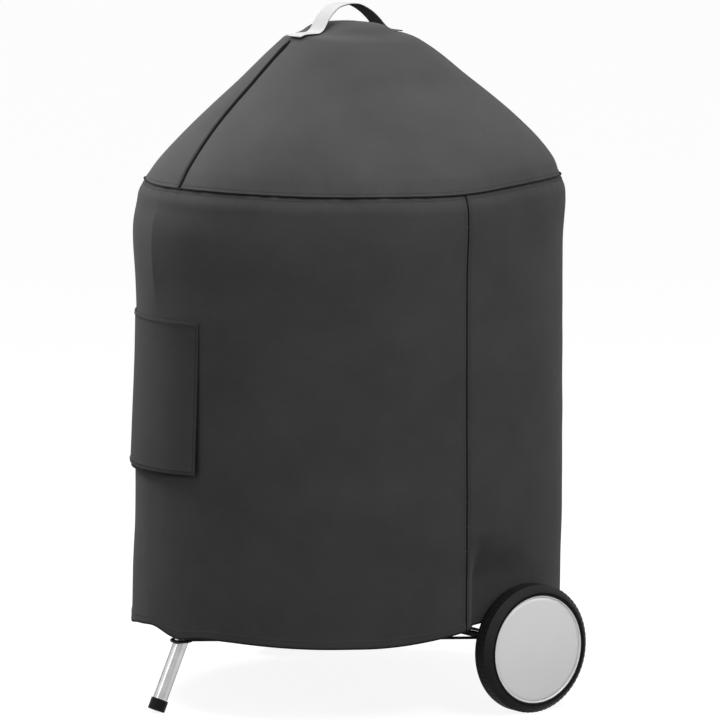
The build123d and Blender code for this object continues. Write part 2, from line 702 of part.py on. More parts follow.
def make_grate_flap():
    """The right-hand flap: an arc rod and a chord rod with rods between, on two knuckles."""
    chord_x = HINGE_X + FLAP_CHORD_AT
    half = half_chord(FLAP_RING_AT, chord_x)
    arc = Pos(0, 0, ROD_Z) * Torus(FLAP_RING_AT, GRATE_FRAME_R)
    round_it = 2 * GRATE_FRAME_R
    y_range = (-half - round_it, half + round_it)
    arc = arc & bar((chord_x, FLAP_RING_AT + round_it), y_range, (ROD_Z - round_it, ROD_Z + round_it))
    chord = rod((chord_x, -half - PAST, ROD_Z), (chord_x, half + PAST, ROD_Z), GRATE_POST_R)
    pieces = [arc, chord]
    for y in rod_rows(GRATE_PITCH, half - GRATE_PITCH / 2):
        pieces.append(rod((chord_x, y, ROD_Z), (half_chord(FLAP_RING_AT, y), y, ROD_Z), GRATE_ROD_R))
    knuckle_r = GRATE_FRAME_R + SHAFT_GAP + KNUCKLE_WALL
    for y in (-KNUCKLE_AT, KNUCKLE_AT):
        near = (HINGE_X, y - KNUCKLE_L / 2, ROD_Z)
        far = (HINGE_X, y + KNUCKLE_L / 2, ROD_Z)
        pieces.append(rod(near, far, knuckle_r))
        pieces.append(rod((HINGE_X, y, ROD_Z), (chord_x, y, ROD_Z), GRATE_ROD_R))
    bore = rod((HINGE_X, -half, ROD_Z), (HINGE_X, half, ROD_Z), GRATE_FRAME_R + SHAFT_GAP)
    return joined(pieces) - bore


def make_charcoal_grate():
    """Thick rods across a ring, with two more rods under them."""
    rod_z = COAL_Z + 2 * COAL_ROD_R - GRATE_WELD
    pieces = [Pos(0, 0, COAL_Z) * Torus(COAL_RING_AT, COAL_ROD_R)]
    for y in rod_rows(COAL_PITCH, COAL_RING_AT - COAL_PITCH / 4):
        half = half_chord(COAL_RING_AT, y)
        pieces.append(rod((-half, y, rod_z), (half, y, rod_z), COAL_ROD_R))
    for x in (-COAL_RING_AT / 2, COAL_RING_AT / 2):
        half = half_chord(COAL_RING_AT, x)
        pieces.append(rod((x, -half, COAL_Z), (x, half, COAL_Z), COAL_CROSS_R))
    return joined(pieces)


# ================================================================ ash cleaner
def make_blades():
    """Three blades that follow the bowl's inside and cover its ash holes."""
    shell = bowl_form(SHEET + BLADE_GAP) - bowl_form(SHEET + BLADE_GAP + BLADE_T)
    low = BOWL_BOTTOM_Z - PAST
    high = bowl_under(BLADE_R) + 2 * (SHEET + BLADE_GAP + BLADE_T)
    blades = disc(BLADE_HUB_R, low, high)
    for angle in around(ASH_HOLES, LEVER_ANGLE):
        outline = [(0, low), (BLADE_R, low), (BLADE_R, high), (0, high)]
        blades = blades + sector(outline, angle, BLADE_ANGLE)
    return (shell & blades) - disc(SHAFT_R, low - PAST, high + PAST)


def make_shaft():
    head_low = BOWL_BOTTOM_Z + SHEET + BLADE_GAP + BLADE_T + SEAT_GAP
    shaft = disc(SHAFT_R, LEVER_Z - LEVER_T - NUT_H - SHAFT_PAST_NUT, head_low + SHAFT_HEAD / 2)
    return shaft + disc(SHAFT_HEAD_R, head_low, head_low + SHAFT_HEAD)


def lever_frame(solid):
    return Rot(0, 0, LEVER_ANGLE) * solid


def make_lever():
    """A flat bar under the bowl, from the shaft to the grip."""
    strip = bar((0, LEVER_REACH), (-LEVER_W / 2, LEVER_W / 2), (LEVER_Z - LEVER_T, LEVER_Z))
    strip = strip + disc(LEVER_EYE_R, LEVER_Z - LEVER_T, LEVER_Z)
    collar_top = BOWL_BOTTOM_Z - COLLAR_GAP
    strip = strip + disc(SHAFT_R + COLLAR_WALL, LEVER_Z - LEVER_T / 2, collar_top)
    return lever_frame(strip - disc(SHAFT_R, LEVER_Z - LEVER_T - PAST, collar_top + PAST))


def make_lever_grip():
    """A moulded grip pushed over the lever's end."""
    start = LEVER_REACH - LEVER_IN_GRIP
    middle = LEVER_Z - LEVER_T / 2
    grip = rod((start, 0, middle), (start + LEVER_GRIP_L, 0, middle), LEVER_GRIP_R)
    grip = fillet(grip.edges().filter_by(GeomType.CIRCLE), LEVER_GRIP_ROUND)
    slot = bar((start - PAST, LEVER_REACH), (-LEVER_W / 2, LEVER_W / 2), (LEVER_Z - LEVER_T, LEVER_Z))
    return lever_frame(grip - slot)


def make_cleaner_nut():
    top = LEVER_Z - LEVER_T
    hexagon = extrude(Plane((0, 0, top - NUT_H)) * RegularPolygon(NUT_AF / 2, 6, major_radius=False), NUT_H)
    return hexagon - disc(SHAFT_R, top - NUT_H - PAST, top + PAST)


# ================================================================ ash pan and its clips
def make_ash_pan():
    """A shallow dish with a flat flange."""
    flange_in = PAN_R - PAN_FLANGE
    low = PAN_RIM_Z - PAN_DEPTH
    return turned([
        (0, low - PAN_SHEET),
        (PAN_BOTTOM_R, low - PAN_SHEET),
        (flange_in, PAN_RIM_Z - PAN_SHEET),
        (PAN_R, PAN_RIM_Z - PAN_SHEET),
        (PAN_R, PAN_RIM_Z),
        (flange_in - PAN_SHEET, PAN_RIM_Z),
        (PAN_BOTTOM_R - PAN_SHEET, low),
        (0, low),
    ])


def make_pan_clip(side):
    """A collar on a leg with a short arm that the pan's flange rests on."""
    top, bottom = LEGS[side]
    seat_z = PAN_RIM_Z - PAN_SHEET - SEAT_GAP
    middle = leg_point(side, seat_z - CLIP_T / 2)
    start = step_along(middle, top, CLIP_L / 2)
    end = step_along(middle, bottom, CLIP_L / 2)
    collar = rod(start, end, LEG_R + CLIP_WALL)
    distance = sqrt(middle[0]**2 + middle[1]**2)
    angle = degrees(atan2(middle[1], middle[0]))
    arm = bar((PAN_R - CLIP_LAP, distance), (-CLIP_W / 2, CLIP_W / 2), (seat_z - CLIP_T, seat_z))
    hole = rod(step_along(middle, top, CLIP_L), step_along(middle, bottom, CLIP_L), LEG_R)
    return collar + Rot(0, 0, angle) * arm - hole


# ================================================================ lid
def dome_point(radius, lift=0.0):
    """Radius and height of a point on the lid's crown arc, lifted along its normal."""
    crown = crown_radius(LID_R, LID_HEIGHT, LID_SHOULDER_R)
    lean = asin(radius / crown)
    return (crown + lift) * sin(lean), APEX_Z - crown + (crown + lift) * cos(lean), degrees(lean)


def damper_frame(solid, lift=0.0):
    """Place a solid made about Z on the dome, its +Z along the dome's normal."""
    r, z, lean = dome_point(DAMPER_AT, lift)
    return Rot(0, 0, DAMPER_ANGLE) * Pos(r, 0, z) * Rot(0, lean, 0) * solid


def damper_cutter(radius, x=0.0, y=0.0):
    return disc(radius, -DAMPER_CUT, DAMPER_CUT, x, y)


def damper_holes(turn):
    places = [polar(DAMPER_HOLE_AT, angle) for angle in around(DAMPER_HOLES, turn)]
    return [damper_cutter(DAMPER_HOLE_R, x, y) for x, y, _ in places]


def make_lid():
    """The dome, a ledge that sits on the bowl's rolled rim, and a short skirt outside it."""
    shell = lid_form() - lid_form(SHEET)
    rim = ring(SKIRT_IN_R + SHEET, LID_R - SHEET, LID_RIM_Z, LID_RIM_Z + SHEET)
    skirt = ring(SKIRT_IN_R + SHEET, SKIRT_IN_R, LID_RIM_Z - LID_SKIRT, LID_RIM_Z + SHEET)
    lid = shell + rim + skirt
    for hole in damper_holes(0):
        lid = lid - damper_frame(hole)
    lid = lid - damper_frame(damper_cutter(RIVET_R))
    for x in (-LID_BOLT_AT, LID_BOLT_AT):
        lid = lid - disc(LID_BOLT_R + SCREW_GAP, APEX_Z - 3 * SHEET - PAST, APEX_Z + PAST, x)
    return lid


def make_damper():
    """A dished disc with holes that match the lid's, and a finger tab at its edge."""
    crown = crown_radius(LID_R, LID_HEIGHT, LID_SHOULDER_R)
    outer = Pos(0, 0, -crown) * Sphere(crown + DAMPER_GAP + DAMPER_SHEET)
    inner = Pos(0, 0, -crown) * Sphere(crown + DAMPER_GAP)
    tab_reach = DAMPER_R + DAMPER_TAB
    tab_y = (-DAMPER_TAB_W / 2, DAMPER_TAB_W / 2)
    blank = damper_cutter(DAMPER_R) + bar((0, tab_reach), tab_y, (-DAMPER_CUT, DAMPER_CUT))
    plate = (outer - inner) & blank
    tab_low = -(tab_reach**2) / (2 * crown) + DAMPER_GAP
    plate = plate + bar((tab_reach - DAMPER_LIP_T, tab_reach), tab_y, (tab_low, tab_low + DAMPER_LIP))
    for hole in damper_holes(180 / DAMPER_HOLES):
        plate = plate - hole
    return damper_frame(plate - damper_cutter(RIVET_R + SHAFT_GAP))


def make_damper_rivet():
    top = DAMPER_GAP + DAMPER_SHEET + SEAT_GAP
    low = -SHEET - RIVET_UNDER
    rivet = disc(RIVET_R, low - RIVET_HEAD / 2, top + RIVET_HEAD / 2)
    rivet = rivet + disc(RIVET_HEAD_R, top, top + RIVET_HEAD)
    return damper_frame(rivet + disc(RIVET_HEAD_R, low - RIVET_HEAD, low))


def make_hook():
    """A bent strip inside the lid, to hang it on the bowl's rim."""
    y_range = (-HOOK_W / 2, HOOK_W / 2)
    plate = bar((HOOK_R, HOOK_R + HOOK_T), y_range, (HOOK_TOP_Z - HOOK_DROP, HOOK_TOP_Z))
    foot = bar((HOOK_R, LID_R), y_range, (HOOK_TOP_Z - HOOK_T, HOOK_TOP_Z))
    return (Rot(0, 0, HOOK_ANGLE) * (plate + foot)) & lid_form(SHEET)


# ================================================================ lid handle
BRACKET_LOW = APEX_Z + SEAT_GAP
BRACKET_X = GRIP_HALF + BRACKET_T
SHIELD_Z = APEX_Z + SHIELD_RISE


def make_lid_grip():
    grip = rod((-GRIP_HALF, 0, GRIP_Z), (GRIP_HALF, 0, GRIP_Z), GRIP_R)
    grip = fillet(grip.edges().filter_by(GeomType.CIRCLE), GRIP_ROUND)
    hole_end = GRIP_HALF - GRIP_SCREW_L - GRIP_SCREW_END
    for side in (-1, 1):
        mouth = side * (GRIP_HALF + PAST)
        grip = grip - rod((mouth, 0, GRIP_Z), (side * hole_end, 0, GRIP_Z), SCREW_R + SCREW_GAP)
    return grip


def make_handle_arm(side):
    """One upright arm of the bracket, round at its top."""
    x_range = sorted((side * GRIP_HALF, side * BRACKET_X))
    shoulder_z = GRIP_Z - BRACKET_SHOULDER
    arm = bar(x_range, (-BRACKET_W / 2, BRACKET_W / 2), (BRACKET_LOW, shoulder_z))
    tip = rod((x_range[0], 0, GRIP_Z), (x_range[1], 0, GRIP_Z), BRACKET_END_R)
    waist = bar(x_range, (-BRACKET_END_R, BRACKET_END_R), (shoulder_z - PAST, GRIP_Z))
    hole = rod((x_range[0] - PAST, 0, GRIP_Z), (x_range[1] + PAST, 0, GRIP_Z), SCREW_R + SCREW_GAP)
    return arm + tip + waist - hole


def make_lid_bracket():
    """A bent steel strap: a base bolted to the dome and two arms that hold the grip."""
    base_top = BRACKET_LOW + BRACKET_T
    base = bar((-BRACKET_X, BRACKET_X), (-BRACKET_W / 2, BRACKET_W / 2), (BRACKET_LOW, base_top))
    bracket = base + make_handle_arm(-1) + make_handle_arm(1)
    for x in (-LID_BOLT_AT, LID_BOLT_AT):
        bracket = bracket - disc(LID_BOLT_R + SCREW_GAP, BRACKET_LOW - PAST, base_top + PAST, x)
    return bracket


def make_heat_shield():
    """A plate with two turned-down edges, held between the bracket's arms."""
    plate = bar((-GRIP_HALF, GRIP_HALF), (-SHIELD_W / 2, SHIELD_W / 2), (SHIELD_Z, SHIELD_Z + SHIELD_T))
    for side in (-1, 1):
        y_range = sorted((side * SHIELD_W / 2, side * (SHIELD_W / 2 - SHIELD_T)))
        plate = plate + bar((-GRIP_HALF, GRIP_HALF), y_range, (SHIELD_Z - SHIELD_L, SHIELD_Z + SHIELD_T))
    return plate


def make_lid_bolts():
    """Two bolts with nuts through the dome, and two screws into the grip's ends."""
    bolts = []
    top = BRACKET_LOW + BRACKET_T
    nut_top = APEX_Z - SHEET - LID_NUT_DROP
    for x in (-LID_BOLT_AT, LID_BOLT_AT):
        bolt = disc(LID_BOLT_HEAD_R, top, top + LID_BOLT_HEAD, x)
        bolt = bolt + disc(LID_BOLT_R, nut_top - LID_NUT - LID_BOLT_PAST_NUT, top + LID_BOLT_HEAD / 2, x)
        bolts.append(bolt + disc(LID_NUT_R, nut_top - LID_NUT, nut_top, x))
    head_out = BRACKET_X + SCREW_HEAD
    for side in (-1, 1):
        head = rod((side * BRACKET_X, 0, GRIP_Z), (side * head_out, 0, GRIP_Z), SCREW_HEAD_R)
        shank_in = side * (GRIP_HALF - GRIP_SCREW_L)
        shank = rod((side * (head_out - SCREW_HEAD / 2), 0, GRIP_Z), (shank_in, 0, GRIP_Z), SCREW_R)
        bolts.append(head + shank)
    return bolts


# ================================================================ fabric cover
COVER_TOUCH_R = GRIP_HALF - GRIP_ROUND
COVER_TOP_Z = APEX_Z + GRIP_RISE + COVER_REST + FABRIC + CROWN_R - sqrt(CROWN_R**2 - COVER_TOUCH_R**2)


def cover_section(inset=0.0):
    """Half the cover's filled section: a cap, a slightly bulging cone, a rounded shoulder, a wall."""
    crown_z = COVER_TOP_Z - CROWN_R
    edge_lean = asin(CAP_EDGE_R / CROWN_R)
    edge = ((CROWN_R - inset) * sin(edge_lean), crown_z + (CROWN_R - inset) * cos(edge_lean))
    round_r = (SHOULDER_IN**2 + SHOULDER_ROUND**2) / (2 * SHOULDER_IN)
    round_x = WALL_R - round_r
    round_z = SHOULDER_Z - SHOULDER_ROUND
    meet = atan2(SHOULDER_ROUND, SHOULDER_R - round_x)
    shoulder = (round_x + (round_r - inset) * cos(meet), round_z + (round_r - inset) * sin(meet))
    run = Vector(shoulder[0] - edge[0], shoulder[1] - edge[1])
    normal = Vector(-run.Y, run.X).normalized()
    middle = Vector((edge[0] + shoulder[0]) / 2, (edge[1] + shoulder[1]) / 2) + normal * CONE_BULGE
    outline = Wire([
        CenterArc((0, crown_z), CROWN_R - inset, 90 - degrees(edge_lean), degrees(edge_lean)),
        ThreePointArc(edge, (middle.X, middle.Y), shoulder),
        CenterArc((round_x, round_z), round_r - inset, 0, degrees(meet)),
        Line((WALL_R - inset, round_z), (WALL_R - inset, HEM_Z)),
        Line((WALL_R - inset, HEM_Z), (0, HEM_Z)),
        Line((0, HEM_Z), (0, COVER_TOP_Z - inset)),
    ])
    return make_face(Plane.XZ * outline)


def cover_form(inset=0.0):
    """The cover's filled shape, pressed in between the wheels."""
    return revolve(cover_section(inset), Axis.Z) & tuck_form(inset)


def tuck_form(inset):
    """A block as wide as the object allows: narrow between the wheels, wide above them."""
    wide = WALL_R + BEYOND - inset
    narrow = WALL_TUCK - inset
    low = HEM_Z - BEYOND
    high = COVER_TOP_Z + BEYOND
    points = [(-narrow, low), (narrow, low), (narrow, TUCK_Z), (wide, TUCK_TOP_Z)]
    points += [(wide, high), (-wide, high), (-wide, TUCK_TOP_Z), (-narrow, TUCK_Z)]
    face = make_face(Plane.XZ * Polyline(*points, close=True))
    return extrude(face, WALL_R + BEYOND, both=True)


def make_cover_panels():
    """The cone and the wall, each in two sewn panels."""
    big = WALL_R + BEYOND
    shell = cover_form() - cover_form(FABRIC)
    hem = cover_form(-HEM_T) - cover_form()
    hem = hem & bar((-big, big), (-big, big), (HEM_Z, HEM_Z + HEM_H))
    cone = shell & bar((-big, big), (-big, big), (SHOULDER_Z, COVER_TOP_Z + BEYOND))
    wall = (shell & bar((-big, big), (-big, big), (HEM_Z - BEYOND, SHOULDER_Z))) + hem
    vent_span = degrees(VENT_W / WALL_R)
    vent_in = WALL_R - BEYOND
    vent_outline = [(vent_in, VENT_BOTTOM_Z), (big, VENT_BOTTOM_Z), (big, VENT_TOP_Z), (vent_in, VENT_TOP_Z)]
    wall = wall - sector(vent_outline, VENT_ANGLE, vent_span)
    z_range = (HEM_Z - BEYOND, COVER_TOP_Z + BEYOND)
    left = bar((-big, 0), (-big, big), z_range)
    right = bar((0, big), (-big, big), z_range)
    front = bar((-big, big), (-big, 0), z_range)
    rear = bar((-big, big), (0, big), z_range)
    return cone & left, cone & right, wall & front, wall & rear


def make_piping():
    """A covered cord sewn into the seam between the cone and the wall."""
    middle = Pos(SHOULDER_R + PIPING_OUT, SHOULDER_Z)
    cord = Plane.XZ * middle * Rot(0, 0, 180) * Circle(PIPING_R)
    return revolve(cord - cover_section(), Axis.Z)


def make_vent_mesh():
    """A fine mesh panel sewn inside the wall, over the vent opening."""
    outer = WALL_R - FABRIC
    low = VENT_BOTTOM_Z - MESH_LAP
    high = VENT_TOP_Z + MESH_LAP
    outline = [(outer - MESH_T, low), (outer, low), (outer, high), (outer - MESH_T, high)]
    return sector(outline, VENT_ANGLE, degrees((VENT_W + 2 * MESH_LAP) / WALL_R))


def make_vent_flap():
    """A flap over the vent, sewn along its top and flaring a little at its lower edge."""
    top_r = WALL_R + FLAP_OFF
    low_r = top_r + FLAP_FLARE
    low_z = FLAP_TOP_Z - FLAP_H
    outline = [(low_r, low_z), (low_r + FABRIC, low_z), (top_r + FABRIC, FLAP_TOP_Z), (top_r, FLAP_TOP_Z)]
    return sector(outline, VENT_ANGLE, FLAP_SPAN)


def across_x(radius, centre_z):
    """A cylinder along X, as long as the strap is wide."""
    return rod((-STRAP_W / 2, 0, centre_z), (STRAP_W / 2, 0, centre_z), radius)


def make_strap():
    """A webbing handle: an arch over the cap, and a sewn tab at each end."""
    crown_z = COVER_TOP_Z - CROWN_R
    base_z = crown_z + sqrt(CROWN_R**2 - STRAP_HALF**2)
    rise = COVER_TOP_Z + STRAP_RISE - base_z
    arch_r = (STRAP_HALF**2 + rise**2) / (2 * rise)
    arch_z = COVER_TOP_Z + STRAP_RISE - arch_r
    arch = across_x(arch_r, arch_z) - across_x(arch_r - STRAP_T, arch_z)
    width = (-STRAP_W, STRAP_W)
    high = COVER_TOP_Z + STRAP_RISE + PAST
    arch = arch & bar(width, (-STRAP_TAB, STRAP_TAB), (base_z - STRAP_JOIN / 2, high))
    tabs = across_x(CROWN_R + SEAT_GAP + STRAP_T, crown_z) - across_x(CROWN_R + SEAT_GAP, crown_z)
    for side in (-1, 1):
        y_range = sorted((side * (STRAP_HALF - STRAP_JOIN), side * STRAP_TAB))
        arch = arch + (tabs & bar(width, y_range, (crown_z, high)))
    return arch - Pos(0, 0, crown_z) * Sphere(CROWN_R + SEAT_GAP)


# ================================================================ write every node
def main():
    os.makedirs("parts", exist_ok=True)
    save("bowl", make_bowl())
    save("cooking_grate_tabs", *make_tabs(GRATE_RING_Z - GRATE_RING_R - SEAT_GAP, GRATE_RING_AT - TAB_BITE))
    save("charcoal_grate_tabs", *make_tabs(COAL_Z - COAL_ROD_R - SEAT_GAP, COAL_RING_AT - TAB_BITE))
    for side in LEGS:
        save(f"{side}_leg_socket", make_socket(side))
        save(f"{side}_leg", make_leg(side))
    save("foot_cap", make_foot_cap())

    plug = make_leg_plug()
    save("right_leg_plug", plug)
    save("left_leg_plug", mirrored(plug))
    spacer = make_spacer()
    save("axle_spacers", spacer, mirrored(spacer))
    save("axle", on_axle(disc(AXLE_R, -AXLE_END, AXLE_END)))
    washer = make_washer()
    save("axle_washers", washer, mirrored(washer))
    nut = make_push_nut()
    save("axle_push_nuts", nut, mirrored(nut))
    wheel = {"tyre": make_tyre(), "hub": make_hub(), "hub_cap": make_hub_cap(), "wheel_bush": make_bush()}
    for name, solid in wheel.items():
        save(f"right_{name}", solid)
        save(f"left_{name}", mirrored(solid))

    save("wire_rack", make_rack())

    bracket = make_handle_bracket()
    handle = make_bowl_handle()
    screws = make_handle_screws()
    save("front_handle_bracket", bracket)
    save("rear_handle_bracket", behind(bracket))
    save("front_bowl_handle", handle)
    save("rear_bowl_handle", behind(handle))
    save("bowl_handle_screws", *screws, *[behind(screw) for screw in screws])

    flap = make_grate_flap()
    save("cooking_grate", make_cooking_grate())
    save("right_grate_flap", flap)
    save("left_grate_flap", mirrored(flap))
    save("charcoal_grate", make_charcoal_grate())

    save("cleaner_blades", make_blades())
    save("cleaner_shaft", make_shaft())
    save("cleaner_lever", make_lever())
    save("cleaner_grip", make_lever_grip())
    save("cleaner_nut", make_cleaner_nut())
    save("ash_pan", make_ash_pan())
    save("ash_pan_clips", *[make_pan_clip(side) for side in LEGS])

    save("lid", make_lid())
    save("lid_damper", make_damper())
    save("damper_rivet", make_damper_rivet())
    save("lid_hook", make_hook())
    save("lid_grip", make_lid_grip())
    save("lid_bracket", make_lid_bracket())
    save("heat_shield", make_heat_shield())
    save("lid_bolts", *make_lid_bolts())

    cone_left, cone_right, wall_front, wall_rear = make_cover_panels()
    save("cover_cone_left", cone_left)
    save("cover_cone_right", cone_right)
    save("cover_wall_front", wall_front)
    save("cover_wall_rear", wall_rear)
    save("shoulder_piping", make_piping())
    save("cover_strap", make_strap())
    save("vent_mesh", make_vent_mesh())
    save("vent_flap", make_vent_flap())


main()
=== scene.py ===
"""Looks of the covered kettle grill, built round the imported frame. Metres, +Z up, floor at z = 0.

Angles go round the kettle's upright axis: 0 is +X (the right wheel), 90 is +Y (behind), and the
single front leg stands at -90.
"""

import json
from math import cos, degrees, pi, radians, sin, tan

import bpy
import numpy as np
from mathutils import Matrix, Vector, noise


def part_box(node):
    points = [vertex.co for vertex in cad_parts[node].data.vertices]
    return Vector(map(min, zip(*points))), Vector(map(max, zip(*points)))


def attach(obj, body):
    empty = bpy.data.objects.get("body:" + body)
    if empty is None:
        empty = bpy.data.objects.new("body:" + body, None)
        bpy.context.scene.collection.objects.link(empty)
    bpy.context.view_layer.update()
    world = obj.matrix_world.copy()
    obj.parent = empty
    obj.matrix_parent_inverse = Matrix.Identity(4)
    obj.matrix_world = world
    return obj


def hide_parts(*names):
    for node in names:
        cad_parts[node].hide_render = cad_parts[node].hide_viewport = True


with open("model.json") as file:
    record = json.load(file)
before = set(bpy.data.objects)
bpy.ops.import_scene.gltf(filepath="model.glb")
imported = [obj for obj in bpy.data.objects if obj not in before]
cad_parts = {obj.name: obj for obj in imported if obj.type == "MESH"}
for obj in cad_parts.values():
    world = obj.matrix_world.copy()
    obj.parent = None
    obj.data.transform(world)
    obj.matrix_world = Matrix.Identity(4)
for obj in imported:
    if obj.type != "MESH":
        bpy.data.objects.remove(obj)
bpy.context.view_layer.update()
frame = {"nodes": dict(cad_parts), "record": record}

MM = 0.001

# ---- places read from the frame
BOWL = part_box("bowl")
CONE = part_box("cover_cone_left")
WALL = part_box("cover_wall_rear")
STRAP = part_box("cover_strap")
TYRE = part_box("right_tyre")
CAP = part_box("right_hub_cap")
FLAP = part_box("vent_flap")
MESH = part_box("vent_mesh")
AXIS_Y = (BOWL[0].y + BOWL[1].y) / 2
HEM_OUT = 1.2 * MM  # the hem stands out from the wall
WALL_R = WALL[1].y - AXIS_Y - HEM_OUT
TOP_Z = CONE[1].z
SEAM_Z = CONE[0].z  # shoulder seam
HEM_Z = WALL[0].z
WHEEL_Y = (TYRE[0].y + TYRE[1].y) / 2
WHEEL_Z = (TYRE[0].z + TYRE[1].z) / 2
WHEEL_R = (TYRE[1].z - TYRE[0].z) / 2

# ---- the cover's own sizes
CLOTH = 1.0 * MM
BULGE_SIDE = 54.0  # the cone bulges most towards this direction
WALL_SEAMS = (-2.9, 180.0)  # the wall's two upright seams
HEM_H = 14 * MM
PIPING_R = 1.5 * MM
STITCH_PITCH = 4.2 * MM
FLAP_MIDDLE = -108.5
FLAP_SPAN = 60.0
FLAP_W = 0.353
FLAP_TOP_Z = FLAP[1].z
FLAP_LOW_Z = FLAP[0].z
FLAP_H = FLAP_TOP_Z - FLAP_LOW_Z
NET_LAP = 12 * MM  # the net reaches past its window
NET_PITCH = 3.0 * MM
NET_THREAD = 1.1 * MM
VENT_TOP_Z = MESH[1].z - NET_LAP
VENT_LOW_Z = MESH[0].z + NET_LAP
WINDOW_W = 0.240
WINDOW_LAP = 8 * MM
VENT_SPAN = degrees(WINDOW_W / WALL_R)
FLAP_STITCH_IN = 5.5 * MM  # the flap's stitches, from its edges
SEAM_STITCH_OUT = 5.5 * MM  # the wall's stitches, from its seams
CONE_STITCH_OUT = 6.5 * MM
STITCH_LIFT = 0.15 * MM
CONE_SLANT = 0.4
SEAM_BOW = 56.0  # degrees, a measure of how far the cone's front seam bows to the left
SEAM_BOW_START = 0.17  # share of the way down where it starts to
CONE_RISE = 0.9  # how far the cone's face turns up, for one outwards
STRAP_SEWN = (73.5, 87.5)  # rows of stitches across the strap's ends, in mm from the axis
HEM_START = 0.975  # share of the wall's height where its hem begins
STRAP_W = STRAP[1].x - STRAP[0].x
TUCK_HALF = TYRE[0].x - 6 * MM  # the wall's half width where a wheel presses it in
TUCK_Z = TYRE[1].z + 14 * MM  # fully pressed in from here down
TUCK_TOP_Z = TUCK_Z + 85 * MM
TUCK_FRONT = -19 * MM  # behind this, measured from the axis
TUCK_EASE = 32 * MM

# Rings of the cap over the lid's handle, in mm: share of the way down, radius, radius gained over the
# handle's ends, drop below the top, and drop saved over the handle's ends.
CAP_SHARE = 0.30
CAP_DROP = 29 * MM
CAP_RINGS = [
    (0.0, 0.0, 0.0, 0.0, 0.0),
    (0.055, 19.0, 16.0, 1.4, 0.0),
    (0.12, 34.0, 30.0, 6.0, 0.5),
    (0.20, 66.0, 17.0, 18.3, 0.8),
    (0.26, 93.0, 8.0, 19.8, -5.0),
]
# Rings of the cone below the cap: share of the run, radius, and radius gained on the bulging side.
CONE_RINGS = [
    (0.0, 109.0, 3.0),
    (0.29, 181.4, 9.9),
    (0.58, 252.2, 14.2),
    (0.87, 309.0, 11.0),
    (1.0, 324.3, 6.3),
]
# Rings of the wall: depth below the shoulder seam, radius, and radius gained on the bulging side.
WALL_RINGS = [
    (-10.0, 322.0, 7.0),
    (0.0, 324.7, 6.7),
    (18.0, 333.0, 5.4),
    (35.0, 335.3, 4.4),
    (67.0, 337.5, 0.7),
    (98.0, 337.0, -0.8),
    (160.0, 335.0, 1.0),
    (400.0, 335.8, 1.4),
    (540.0, 336.4, 0.3),
    (610.0, 337.4, -3.0),
    (720.0, 337.4, -5.5),
]
# The strap's line, in mm: behind the axis, and above the cover's top.
STRAP_LINE = [
    (-104.0, -20.0), (-96.0, -17.0), (-87.0, -16.2), (-77.0, -16.0), (-68.0, -15.4), (-61.5, -12.0),
    (-57.0, -6.0), (-51.5, 3.0), (-45.0, 11.5), (-31.0, 23.0), (-16.0, 27.5), (-3.0, 28.6),
    (8.0, 27.6), (16.0, 25.0), (33.0, 16.0), (49.0, 3.0), (56.0, -4.5), (62.0, -9.8),
    (68.0, -13.0), (75.0, -14.6), (83.0, -15.6), (92.0, -17.2),
]


# ---- mesh helpers
def new_object(name, mesh):
    piece = bpy.data.objects.new(name, mesh)
    bpy.context.scene.collection.objects.link(piece)
    return piece


def mesh_from(name, points, faces, cloth=None):
    """A smooth mesh object. cloth holds each point's place on the flat cloth in metres, for the weave."""
    mesh = bpy.data.meshes.new(name)
    mesh.from_pydata([tuple(p) for p in points], [], faces)
    mesh.validate()
    mesh.shade_smooth()
    if cloth is not None:
        layer = mesh.attributes.new("cloth", "FLOAT_VECTOR", "POINT")
        flat = np.zeros((len(points), 3), np.float32)
        flat[:, :2] = np.asarray(cloth, float).reshape(-1, 2)
        layer.data.foreach_set("vector", flat.ravel())
    return new_object(name, mesh)


def unit(vectors):
    """The same vectors at length 1."""
    return vectors / np.maximum(np.linalg.norm(vectors, axis=-1, keepdims=True), 1e-12)


def run_along(points):
    """The distance along a path, at each of its points."""
    return np.concatenate([[0], np.cumsum(np.linalg.norm(np.diff(points, axis=0), axis=1))])


def ring_faces(rows, columns, offset=0, flip=False):
    """Quads between rows of points, where each row is a ring."""
    faces = []
    for i in range(rows - 1):
        for j in range(columns):
            k = (j + 1) % columns
            quad = (i * columns + j, i * columns + k, (i + 1) * columns + k, (i + 1) * columns + j)
            quad = tuple(offset + q for q in quad)
            faces.append(quad[::-1] if flip else quad)
    return faces


def tube_faces(rows, columns, closed):
    """Quads along rings that follow a path. closed joins the last ring to the first."""
    faces = []
    for i in range(rows if closed else rows - 1):
        k = (i + 1) % rows
        for j in range(columns):
            m = (j + 1) % columns
            faces.append((i * columns + j, k * columns + j, k * columns + m, i * columns + m))
    return faces


def end_faces(rows, columns):
    """The two faces that close a strip of rings."""
    last = (rows - 1) * columns
    return [tuple(range(columns)), tuple(range(last + columns - 1, last - 1, -1))]


def grid_normals(grid):
    """Unit normals of a grid of points, on the side that rows x columns turns to."""
    along = np.gradient(grid, axis=0)
    across = np.gradient(grid, axis=1)
    return unit(np.cross(across, along))


